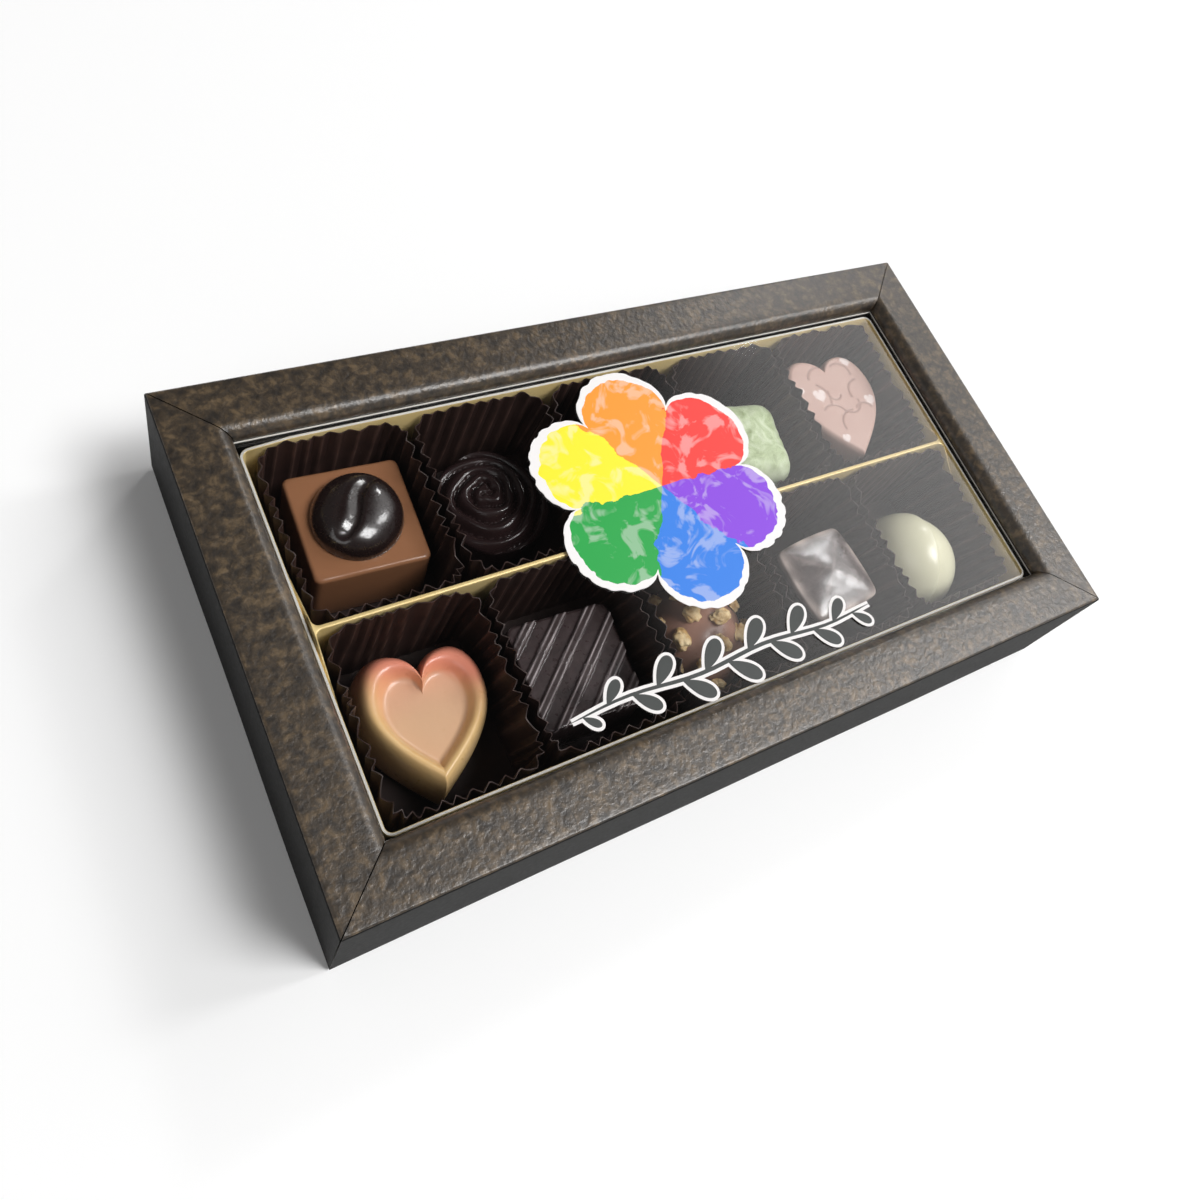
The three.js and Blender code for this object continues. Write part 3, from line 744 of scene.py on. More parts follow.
@dataclass(frozen=True)
class MarbledChocolate(Finish):
    """Chocolate with a second colour in veins, and paler where its edge attribute is high."""

    colours: tuple[tuple[float, str], ...] = ((0.3, "#4a3d3a"), (0.55, "#665955"), (0.75, "#9a8f8c"))
    edge: str = "#a8978f"
    vein: float = 6.0
    roughness: float = 0.3
    spread: float = 0.1
    skin: float = 1.4
    depth: float = 0.03
    gloss: float = 0.0
    gloss_index: float = 1.8
    gloss_roughness: float = 0.25

    def surface(self, tree: Tree) -> Socket:
        """Noise pushed about by noise draws the veins, through a ramp of colours.

        Args:
            tree: node tree of the material.

        Returns:
            The shader.
        """
        place = node(tree, Kind.COORDINATES, out="Object")
        veins = node(tree, Kind.NOISE, {"Vector": place, "Scale": per_mm(self.vein), "Detail": 5.0,
                                        "Roughness": 0.6, "Distortion": 1.6})
        marble = node(tree, Kind.RAMP, {0: veins}, ramp=self.colours)
        edge = node(tree, Kind.ATTRIBUTE, out="Fac", attribute_name="edge")
        colour = node(tree, Kind.MIX, {FACTOR: edge, FIRST: marble, SECOND: linear(self.edge)}, MIXED,
                      data_type="RGBA")
        skin = node(tree, Kind.NOISE, {"Vector": place, "Scale": per_mm(self.skin), "Detail": 4.0})
        dull = node(tree, Kind.MAP_RANGE, {"Value": skin, "To Min": self.roughness - self.spread,
                                           "To Max": self.roughness + self.spread})
        bump = node(tree, Kind.BUMP, {"Height": skin, "Distance": self.depth * MM})
        return node(tree, Kind.PRINCIPLED, {
            "Base Color": colour, "Roughness": dull, "IOR": CHOCOLATE_INDEX, "Coat Weight": self.gloss,
            "Coat IOR": self.gloss_index, "Coat Roughness": self.gloss_roughness, "Normal": bump})


@dataclass(frozen=True)
class DecoratedChocolate(Finish):
    """Chocolate with colours that two attributes bring in over the ground colour: sprays, prints and painted
    shade.
    """

    ground: str = "#c3a095"
    shade: str = "#b18d83"
    # With the curl attribute, the first colour is painted shade along the curl grooves
    first: str = "#9b7970"
    first_name: str = "curl"
    second: str = "#f0dcd6"
    second_name: str = "speck"
    roughness: float = 0.42
    spread: float = 0.08
    cloud: float = 7.0
    skin: float = 1.5
    depth: float = 0.05
    gloss: float = 0.0
    gloss_roughness: float = 0.2

    def surface(self, tree: Tree) -> Socket:
        """Clouded ground, then the first attribute's colour, then the second's.

        Args:
            tree: node tree of the material.

        Returns:
            The shader.
        """
        place = node(tree, Kind.COORDINATES, out="Object")
        cloud = node(tree, Kind.NOISE, {"Vector": place, "Scale": per_mm(self.cloud), "Detail": 4.0})
        colour = node(tree, Kind.MIX, {FACTOR: cloud, FIRST: linear(self.ground), SECOND: linear(self.shade)},
                      MIXED, data_type="RGBA")
        for name, tint in ((self.first_name, self.first), (self.second_name, self.second)):
            share = node(tree, Kind.ATTRIBUTE, out="Fac", attribute_name=name)
            colour = node(tree, Kind.MIX, {FACTOR: share, FIRST: colour, SECOND: linear(tint)}, MIXED,
                          data_type="RGBA")
        skin = node(tree, Kind.NOISE, {"Vector": place, "Scale": per_mm(self.skin), "Detail": 3.0})
        dull = node(tree, Kind.MAP_RANGE, {"Value": skin, "To Min": self.roughness - self.spread,
                                           "To Max": self.roughness + self.spread})
        bump = node(tree, Kind.BUMP, {"Height": skin, "Distance": self.depth * MM})
        return node(tree, Kind.PRINCIPLED, {
            "Base Color": colour, "Roughness": dull, "IOR": CHOCOLATE_INDEX, "Coat Weight": self.gloss,
            "Coat Roughness": self.gloss_roughness, "Normal": bump})


@dataclass(frozen=True)
class RoastedNut(Finish):
    """Broken roasted nut: pale inside and browned outside, with a rough, dry break."""

    pale: str = "#ead2a4"
    brown: str = "#a9783f"
    browning: tuple[float, float] = (0.35, 0.7)
    roast: float = 1.8
    depth: float = 0.25
    roughness: float = 0.55

    def surface(self, tree: Tree) -> Socket:
        """Noise of about two millimetres browns the nut and pits its breaks.

        Args:
            tree: node tree of the material.

        Returns:
            The shader.
        """
        place = node(tree, Kind.COORDINATES, out="Object")
        roast = node(tree, Kind.NOISE, {"Vector": place, "Scale": per_mm(self.roast), "Detail": 5.0})
        colour = node(tree, Kind.RAMP, {0: roast}, ramp=list(zip(self.browning, (self.pale, self.brown))))
        bump = node(tree, Kind.BUMP, {"Height": roast, "Distance": self.depth * MM})
        return node(tree, Kind.PRINCIPLED, {
            "Base Color": colour, "Roughness": self.roughness, "Normal": bump})


@dataclass(frozen=True)
class ClearFilm(Finish):
    """Polyester film: clear, with a mirror that grows towards grazing angles."""

    index: float = 1.5
    roughness: float = 0.06

    def surface(self, tree: Tree) -> Socket:
        """What Fresnel's law reflects is glossy, and the rest passes straight through.

        Args:
            tree: node tree of the material.

        Returns:
            The shader.
        """
        white = linear("#ffffff")
        back = node(tree, Kind.GEOMETRY, out="Backfacing")
        index = node(tree, Kind.MIX, {0: back, 2: self.index, 3: 1 / self.index})
        share = node(tree, Kind.FRESNEL, {"IOR": index})
        clear = node(tree, Kind.CLEAR, {"Color": white})
        mirror = node(tree, Kind.GLOSSY, {"Color": white, "Roughness": self.roughness})
        return node(tree, Kind.MIX_SHADER, {0: share, 1: clear, 2: mirror})


@dataclass(frozen=True)
class PetalPrint(Finish):
    """Watercolour print on white film: one colour for each petal, in washes with ragged edges.

    The turn of the fray is in radians.
    """

    x: float = 0.0
    y: float = 0.0
    rim: float = 1.0
    colours: tuple[str, ...] = ("#fb3a34", "#fd9d2b", "#fdf02a", "#17a545", "#2a7fe6", "#8a42e0")
    white: str = "#f4f1f0"
    fray: float = 5.0
    fray_turn: float = 0.42
    fray_rim: float = 0.1
    wash: float = 8.0
    wash_edge: tuple[float, float] = (0.52, 0.6)
    wash_white: float = 0.3
    roughness: float = 0.45

    def surface(self, tree: Tree) -> Socket:
        """The angle about the flower's middle picks the colour, noise frays it, and the rim stays white.

        Args:
            tree: node tree of the material.

        Returns:
            The shader.
        """
        place = node(tree, Kind.COORDINATES, out="Object")
        middle = node(tree, Kind.MAPPING, {"Vector": place, "Location": (-self.x * MM, -self.y * MM, 0)})
        fray = node(tree, Kind.NOISE, {"Vector": place, "Scale": per_mm(self.fray), "Detail": 5.0})
        x = node(tree, Kind.SEPARATE, {0: middle}, "X")
        angle = node(tree, Kind.MATH, {0: x.node.outputs["Y"], 1: x}, operation="ARCTAN2")
        frayed = node(tree, Kind.MATH, {0: fray, 1: self.fray_turn, 2: angle}, operation="MULTIPLY_ADD")
        share = node(tree, Kind.MATH, {0: frayed, 1: 1 / FULL_TURN, 2: 1 - self.fray_turn / 2 / FULL_TURN},
                     operation="MULTIPLY_ADD")
        wrapped = node(tree, Kind.MATH, {0: share}, operation="FRACT")
        petals = node(tree, Kind.RAMP, {0: wrapped},
                      ramp=[(i / len(self.colours), colour) for i, colour in enumerate(self.colours)])
        petals.node.color_ramp.interpolation = "CONSTANT"
        wash = node(tree, Kind.NOISE, {"Vector": place, "Scale": per_mm(self.wash), "Detail": 3.0,
                                       "Distortion": 1.5})
        thin = node(tree, Kind.MAP_RANGE, {"Value": wash, "From Min": self.wash_edge[0],
                                           "From Max": self.wash_edge[1], "To Max": self.wash_white})
        washed = node(tree, Kind.MIX, {FACTOR: thin, FIRST: petals, SECOND: linear(self.white)}, MIXED,
                      data_type="RGBA")
        rim = node(tree, Kind.ATTRIBUTE, out="Fac", attribute_name="rim")
        ragged = node(tree, Kind.MATH, {0: fray, 1: self.fray_rim, 2: rim}, operation="MULTIPLY_ADD")
        border = node(tree, Kind.MATH, {0: ragged, 1: self.rim}, operation="GREATER_THAN")
        colour = node(tree, Kind.MIX, {FACTOR: border, FIRST: washed, SECOND: linear(self.white)}, MIXED,
                      data_type="RGBA")
        return node(tree, Kind.PRINCIPLED, {"Base Color": colour, "Roughness": self.roughness})


@dataclass(frozen=True)
class FlatPrint(Finish):
    """Ink on film: an even colour with a little cloudiness."""

    colour: str = "#2b2f2d"
    shade: str = "#363a38"
    cloud: float = 3.0
    roughness: float = 0.5

    def surface(self, tree: Tree) -> Socket:
        """Noise of a few millimetres clouds the ink.

        Args:
            tree: node tree of the material.

        Returns:
            The shader.
        """
        place = node(tree, Kind.COORDINATES, out="Object")
        cloud = node(tree, Kind.NOISE, {"Vector": place, "Scale": per_mm(self.cloud), "Detail": 4.0})
        colour = node(tree, Kind.MIX, {FACTOR: cloud, FIRST: linear(self.colour), SECOND: linear(self.shade)},
                      MIXED, data_type="RGBA")
        return node(tree, Kind.PRINCIPLED, {"Base Color": colour, "Roughness": self.roughness})


@dataclass(frozen=True)
class MattPaint(Finish):
    """Matt paint without any shine."""

    colour: str = "#fbfbfb"

    def surface(self, tree: Tree) -> Socket:
        """One colour, fully rough."""
        return node(tree, Kind.PRINCIPLED, {
            "Base Color": linear(self.colour), "Roughness": 1.0, "Specular IOR Level": 0.0})


BRONZE_CARD = GrainedCard("bronze_grained_card")
CHARCOAL_CARD = SmoothCard("charcoal_satin_card")
RAW_EDGE = SmoothCard("white_board_edge", colour="#d9d6cf", worn="#efece6", roughness=0.7)
GOLD_FOIL = GoldFoil("gold_foil_card")
CUP_PAPER = PleatedPaper("dark_glazed_paper")
MILK = TemperedChocolate("milk_chocolate", colour="#ab7f61", shade="#98694c")
FLUTED_MILK = TemperedChocolate("fluted_milk_chocolate", colour="#8a5a3e", shade="#744731")
COATING = TemperedChocolate("dipped_milk_chocolate", colour="#a88373", shade="#8c6656", roughness=0.3)
DARK = TemperedChocolate("dark_chocolate", colour="#36241f", shade="#281917", roughness=0.26, gloss=1.0)
# RIDGED's edge colour is the painted highlight on the bars' edges
RIDGED = MarbledChocolate("bloomed_dark_chocolate", vein=7.0, edge="#d6cacb", gloss=0.3,
                          colours=((0.3, "#2b1f1f"), (0.55, "#382b2b"), (0.78, "#473a3b")))
BEAN_GLAZE = TemperedChocolate("glazed_dark_chocolate", colour="#241817", shade="#1a1110", roughness=0.28,
                               depth=0.008, gloss=1.0)
WHITE = TemperedChocolate("white_chocolate", colour="#fdfae2", shade="#f8f1c8", roughness=0.78, cloud=12.0,
                          shine=0.15)
PISTACHIO = MarbledChocolate("pistachio_chocolate", roughness=0.45, vein=5.0, edge="#dfe8c8",
                             colours=((0.3, "#9fb07c"), (0.5, "#c2d2a5"), (0.72, "#e2ecce")))
# MARBLED's edge colour also draws the painted highlight along the pillow's hips
MARBLED = MarbledChocolate("marbled_dark_chocolate", edge="#f0ded5", gloss=1.0,
                           colours=((0.3, "#3d3230"), (0.55, "#564a48"), (0.75, "#857a78")))
# PINK's first colour is painted shade along the curls' grooves
PINK = DecoratedChocolate("pink_chocolate", ground="#d6b6aa", shade="#c49f93", first="#a38077",
                          second="#f3e2dd")
PEARL = DecoratedChocolate("pearl_dusted_chocolate", ground="#f0cf98", shade="#e3b676", first="#ee8a78",
                           first_name="blush", second="#e0b598", second_name="hollow", roughness=0.3,
                           gloss=0.3)
NUT = RoastedNut("roasted_nut", pale="#f2dcae", brown="#c69c60")
FILM = ClearFilm("clear_polyester_film")
WHITE_INK = FlatPrint("white_ink", colour="#f4f1f0", shade="#ece8e6")
DARK_INK = FlatPrint("dark_ink")
FLOOR_PAINT = MattPaint("pale_studio_floor")


# Lid


@dataclass
class LidFrame:
    """Four mitred rails of folded card: flared skirt, flat top, rolled edge, inner wall and glue flange."""

    card: float = 0.6
    face: float = 10.1
    roll: float = 2.8
    fold: float = 0.8
    flange: float = 7.0
    flare_long: float = 2.6
    flare_short: float = 1.2
    mitre_gap: float = 0.15
    lift: float = 0.8
    glue: float = 0.1
    skirt_reach: float = 2.0
    wave: float = 0.12
    wave_length: float = 70.0
    wave_seed: int = 3
    steps: int = 160
    skirt_steps: int = 12
    face_steps: int = 8

    def top_half(self) -> Array:
        """Half length and half width of the frame's top, inside the flare of the skirts."""
        reach = np.array([box_mm(Side.RIGHT.node)[1][0], box_mm(Side.BACK.node)[1][1]])
        return reach - (self.flare_short, self.flare_long)

    def section(self, flare: float, top: float, foot: float) -> tuple[Array, Array]:
        """Closed section of a rail, by distance inwards and height, and the slot of each of its faces.

        The outer face is a line with arcs at its folds; the inner face lies one card thickness to its right.

        Args:
            flare: how far the skirt stands out at the bottom.
            top: height of the frame's top.
            foot: height of the flange's underside.

        Returns:
            The section's points, anticlockwise, and the slots.
        """
        depth = self.face + self.roll
        corner = arc(self.fold, top - self.fold, self.fold, self.fold, 2, 1)
        face = np.concatenate([
            np.linspace((-flare, self.lift), corner[0], self.skirt_steps, endpoint=False),
            corner,
            np.linspace((self.fold, top), (self.face, top), self.face_steps)[1:-1],
            arc(self.face, top - self.roll, self.roll, self.roll, 1, 0),
            arc(depth - self.fold, foot + self.fold, self.fold, self.fold, 0, -1),
            [(depth - self.flange, foot)],
        ])
        step = np.diff(face, axis=0)
        step /= np.linalg.norm(step, axis=1, keepdims=True)
        before, after = np.concatenate([step[:1], step]), np.concatenate([step, step[-1:]])
        right = np.stack([before[:, 1] + after[:, 1], -before[:, 0] - after[:, 0]], -1)
        inner = face + right * (self.card / (1 + (before * after).sum(1)))[:, None]
        grained = np.arange(len(face)) >= self.skirt_steps + len(corner) // 2
        slots = np.concatenate([np.where(grained, 0, 1), np.full(len(face), 2)])
        return np.concatenate([face, inner[::-1]])[::-1], np.roll(slots[::-1], -1)

    def rail(self, side: Side) -> Piece:
        """Rail on one side: its section carried along, with ends cut on the mitre lines and a wavy skirt.

        Args:
            side: side of the box.

        Returns:
            The rail.
        """
        top, foot = box_mm(Side.BACK.node)[1][2], box_mm("window_film")[1][2] + self.glue
        half, flares = self.top_half(), (self.flare_long, self.flare_short)
        along, across = half if side.is_long else half[::-1]
        flare, other = flares if side.is_long else flares[::-1]
        section, slots = self.section(flare, top, foot)
        inwards, height = section.T
        draw_in = np.where(inwards > 0, inwards, inwards * other / flare)
        x = np.linspace(-1, 1, self.steps + 1)[:, None] * (along - draw_in - self.mitre_gap)
        hang = np.clip((top - height) / top, 0, 1) * (inwards < self.skirt_reach)
        wave = ripple(np.stack([x, 0 * x], -1), self.wave_length, self.wave_seed + side.value)
        bow = self.wave * (1 + wave) * hang
        points = np.stack([x, inwards - across + np.maximum(bow, 0), 0 * x + height], -1)
        rail = ring_body(f"{side.node}_card", turned(points, 90 * side.value),
                         [BRONZE_CARD, CHARCOAL_CARD, CHARCOAL_CARD], slots, cap=Cap.POLYGON, crease=50)
        return install(rail, Body.LID, "bronze_card", side.node)

    def build(self) -> list[Piece]:
        """Rails on the four sides."""
        return [self.rail(side) for side in Side]


@dataclass
class Window:
    """Clear film under the rails, and the white cut edge of the card round it."""

    wave: float = 0.04
    wave_length: float = 55.0
    wave_seed: int = 11
    cells: tuple[int, int] = (120, 64)
    draw_in: float = 0.1
    liner: float = 0.3
    liner_gap: float = 0.01
    liner_lap: float = 0.2
    liner_lift: float = 0.02
    liner_height: float = 0.12

    def film(self) -> Piece:
        """Film that is not quite flat: both faces of its solid, drawn in and moved by slow waves.

        Returns:
            The film.
        """
        low, high = box_mm("window_film")
        x, y = (np.linspace(low[i], high[i], self.cells[i] + 1) for i in range(2))
        wave = self.wave * ripple(np.stack(np.meshgrid(x, y), -1), self.wave_length, self.wave_seed)
        bottom, top = wave + low[2] + self.draw_in, wave + high[2] - self.draw_in
        piece = wavy_sheet("window_film_clear", x, y, bottom, top, FILM)
        return install(piece, Body.LID, "window_film", "window_film")

    def liner_edge(self) -> Piece:
        """White cut edge of the card at the film's glue line: four strips that frame the opening.

        Returns:
            The strips.
        """
        far_x, far_y = LidFrame().top_half() - (LidFrame.face + LidFrame.roll - self.liner_lap)
        near_x, near_y = far_x - self.liner, far_y - self.liner
        end = near_y - self.liner_gap
        strips = [(-far_x, -far_y, far_x, -near_y), (-far_x, near_y, far_x, far_y),
                  (-far_x, -end, -near_x, end), (near_x, -end, far_x, end)]
        outlines = np.array([[(x0, y0), (x1, y0), (x1, y1), (x0, y1)] for x0, y0, x1, y1 in strips])
        low = box_mm("window_film")[1][2] + self.liner_lift
        piece = prisms("window_liner_edge", outlines, low, low + self.liner_height, RAW_EDGE)
        return install(piece, Body.LID, "bronze_card")

    def build(self) -> list[Piece]:
        """Film and white edge."""
        return [self.film(), self.liner_edge()]


@dataclass
class Flower:
    """Sticker in the form of a flower, on the film."""

    petals: int = 6
    waist: float = 0.72
    petal_round: float = 0.6
    petal_points: int = 60
    ragged: float = 0.012
    ragged_size: float = 0.12
    ragged_seed: int = 5
    rim: float = 0.985
    last_ring: float = 0.01
    rings: int = 40

    def build(self) -> list[Piece]:
        """Rings drawn in from an outline whose radius swells with a power of |sin| at each petal.

        Returns:
            The flower.
        """
        low, high = box_mm("flower_sticker")
        middle, radius = (low + high) / 2, (high[1] - low[1]) / 2
        circle = round_outline(self.petals * self.petal_points)
        angle = np.arctan2(circle[:, 1], circle[:, 0])
        lobe = np.abs(np.sin(angle * self.petals / 2)) ** self.petal_round
        edge = np.minimum(1 + self.ragged * ripple(circle, self.ragged_size, self.ragged_seed), 1)
        outline = circle * (radius * (self.waist + (1 - self.waist) * lobe) * edge)[:, None]
        share = np.concatenate([[1, 1], np.linspace(self.rim, self.last_ring, self.rings)])
        height = np.where(np.arange(len(share)) == 0, low[2], high[2])
        rings = stack(outline * share[:, None, None], height) + (middle[0], middle[1], 0)
        finish = PetalPrint("rainbow_petal_print", x=middle[0], y=middle[1], rim=self.rim)
        rim = np.broadcast_to(share[:, None], rings.shape[:2])
        piece = ring_body("flower_sticker_print", rings, [finish], attributes={"rim": rim})
        return [install(piece, Body.LID, "sticker_print", "flower_sticker")]


@dataclass
class Sprig:
    """Sticker in the form of a leafy sprig, on the film: dark ink on a white sprig that is a little wider."""

    leaves: int = 13
    leaf_width: float = 4.6
    leaf_slant: float = 42.0
    first_leaf: float = -0.94
    last_leaf: float = 0.86
    thinning: float = 0.75
    stem: float = 0.45
    stem_tip: float = 1.02
    sway: float = 0.6
    sway_turn: float = 7.0
    points: int = 48
    outline: float = 0.7
    white_below: float = 0.07
    ink_below: float = 0.05
    ink_top_below: float = 0.03
    layer: float = 0.002

    def sway_at(self, share: Array) -> Array:
        """How far the stem sways aside at a share of its half length: a sine, in radians."""
        return self.sway * np.sin(share * self.sway_turn)

    def leaf_shapes(self, reach: Array) -> Array:
        """Leaves on both sides by turns: lenses as wide as sin(t) times |sin(t / 2)| along a half cosine.

        Args:
            reach: half length and half width of the sprig.

        Returns:
            The outlines, by leaf and point.
        """
        at = np.linspace(self.first_leaf, self.last_leaf, self.leaves)
        taper = np.sqrt(1 - at**2) * self.thinning + (1 - self.thinning)
        slant = math.radians(self.leaf_slant)
        size = np.stack([reach[1] / math.sin(slant) * taper, self.leaf_width / 2 * taper], -1)
        around = np.arange(self.points) * FULL_TURN / self.points
        lens = np.stack([(1 - np.cos(around)) / 2, -np.sin(around) * np.abs(np.sin(around / 2))], -1)
        lean = slant * np.where(np.arange(self.leaves) % 2, 1, -1)
        turn = np.stack([np.cos(lean), np.sin(lean), -np.sin(lean), np.cos(lean)], -1).reshape(-1, 2, 2)
        root = np.stack([at * reach[0], self.sway_at(at)], -1)
        return (lens * size[:, None]) @ turn + root[:, None]

    def stem_shape(self, reach: Array) -> Array:
        """Swaying stem that thins towards its ends like an ellipse.

        Args:
            reach: half length and half width of the sprig.

        Returns:
            The outline's points.
        """
        half = self.points // 2
        share = np.concatenate([np.linspace(-1, 1, half), np.linspace(1, -1, half)])
        aside = np.repeat((-1, 1), half) * self.stem * np.sqrt(self.stem_tip - share**2)
        return np.stack([share * reach[0], self.sway_at(share) + aside], -1)

    def outlines(self, grow: float) -> Array:
        """Leaves and stem in place, drawn outwards.

        Args:
            grow: how far each outline is drawn outwards.

        Returns:
            The outlines, by leaf and point, with the stem as the last one.
        """
        low, high = box_mm("sprig_sticker")
        reach = (high - low)[:2] / 2 - self.outline
        shapes = np.concatenate([self.leaf_shapes(reach), self.stem_shape(reach)[None]])
        return shapes - grow * inward_normals(shapes) + (low + high)[:2] / 2

    def build(self) -> list[Piece]:
        """White sprig and the printed one on it, each leaf a hair higher than the one before.

        Returns:
            The white sprig and the print.
        """
        low, high = box_mm("sprig_sticker")
        order = np.arange(self.leaves + 1) * self.layer
        white = prisms("sprig_sticker_white", self.outlines(self.outline), low[2],
                       high[2] - self.white_below + order, WHITE_INK)
        dark = prisms("sprig_sticker_print", self.outlines(0), high[2] - self.ink_below,
                      high[2] - self.ink_top_below + order, DARK_INK)
        install(white, Body.LID, "sticker_print", "sprig_sticker")
        return [white, install(dark, Body.LID, "sticker_print")]


# Tray and carton


@dataclass
class GoldTray:
    """Open tray of gold card with a white cut edge, and the doubled gold strip that divides it."""

    card: float = 0.7
    corner: float = 1.5
    edge: float = 0.12
    left_drop: float = 1.4
    left_from: float = 0.9
    leaf: float = 0.5
    fillet: float = 1.5
    fillet_steps: int = 10
    tab_steps: int = 6
    leaf_steps: int = 24
    tab_slope: float = 0.4
    brim: tuple[tuple[float, float], ...] = ((0.0, 0.25), (0.07, 0.08), (0.2, 0.0))

    def tray(self) -> Piece:
        """Outer wall, top edge, inner wall and floor as round-cornered rectangles; the left wall is lower.

        Returns:
            The tray.
        """
        low, high = box_mm("gold_tray")
        profile = np.array([
            (0, low[2]), (0, high[2] - self.edge), (self.edge, high[2]), (self.card - self.edge, high[2]),
            (self.card, high[2] - self.edge), (self.card, low[2] + self.card)])
        at_top = np.array([0, 1, 1, 1, 1, 0])[:, None]
        radius = self.corner + self.card - profile[:, 0]
        outlines = rounded_rects(high[0] - profile[:, 0], high[1] - profile[:, 0], radius)
        left = smoothstep(self.left_from, 1, -outlines[0, :, 0] / high[0])
        heights = profile[:, 1:] - self.left_drop * left * at_top
        slots = np.array([0, 0, 1, 0, 0])[:, None]
        piece = ring_body("gold_tray_card", stack(outlines, heights), [GOLD_FOIL, RAW_EDGE], slots)
        return install(piece, Body.BASE, "gold_card", "gold_tray")

    def divider_outline(self, end: float, tab: float) -> Array:
        """Divider from above: a quarter with its tab, bend and leaf, mirrored twice.

        Args:
            end: half length.
            tab: reach of a tab to the side.

        Returns:
            The outline's points, anticlockwise.
        """
        face, bend = end - self.leaf, self.leaf + self.fillet
        quarter = np.concatenate([
            [(end, 0), (end, tab), (face, tab)],
            np.linspace((face, tab), (face, bend), self.tab_steps)[1:-1],
            arc(face - self.fillet, bend, self.fillet, self.fillet, 0, -1, self.fillet_steps),
            np.linspace((face - self.fillet, self.leaf), (0, self.leaf), self.leaf_steps)[1:-1],
        ])
        half = np.concatenate([quarter, [(0, self.leaf)], quarter[::-1] * (-1, 1)])
        return np.concatenate([half, half[-2:0:-1] * (1, -1)])

    def divider(self) -> Piece:
        """Two leaves back to back that open into tabs, whose tops slope down from the bend.

        Returns:
            The divider.
        """
        low, high = box_mm("gold_divider")
        outline = self.divider_outline(high[0], high[1])
        brim = np.array(self.brim)
        inset = np.concatenate([[0], brim[:, 0]])
        level = np.concatenate([[low[2]], high[2] - brim[:, 1]])[:, None]
        drop = self.tab_slope * np.maximum(np.abs(outline[:, 1]) - self.leaf - self.fillet, 0)
        heights = level - drop * (level > low[2])
        rings = stack(outline + inward_normals(outline) * inset[:, None, None], heights)
        piece = ring_body("gold_divider_card", rings, [GOLD_FOIL], cap=Cap.POLYGON)
        return install(piece, Body.BASE, "gold_card", "gold_divider")

    def build(self) -> list[Piece]:
        """Tray and divider."""
        return [self.tray(), self.divider()]


@dataclass
class Carton:
    """Base tray, spacers and mitre tabs: flat pieces of charcoal card, whose solids are right as they are."""

    nodes: tuple[str, ...] = (
        "base_tray", "spacer_front", "spacer_right", "spacer_back", "spacer_left", "mitre_tab_front_left",
        "mitre_tab_front_right", "mitre_tab_back_left", "mitre_tab_back_right")

    def build(self) -> list[Piece]:
        """Dress the solids.

        Returns:
            The solids.
        """
        for name in self.nodes:
            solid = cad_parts[name]
            solid.data.materials.clear()
            solid.data.materials.append(CHARCOAL_CARD.material())
            log.info("%s: dressed in charcoal card", name)
        return [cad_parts[name] for name in self.nodes]


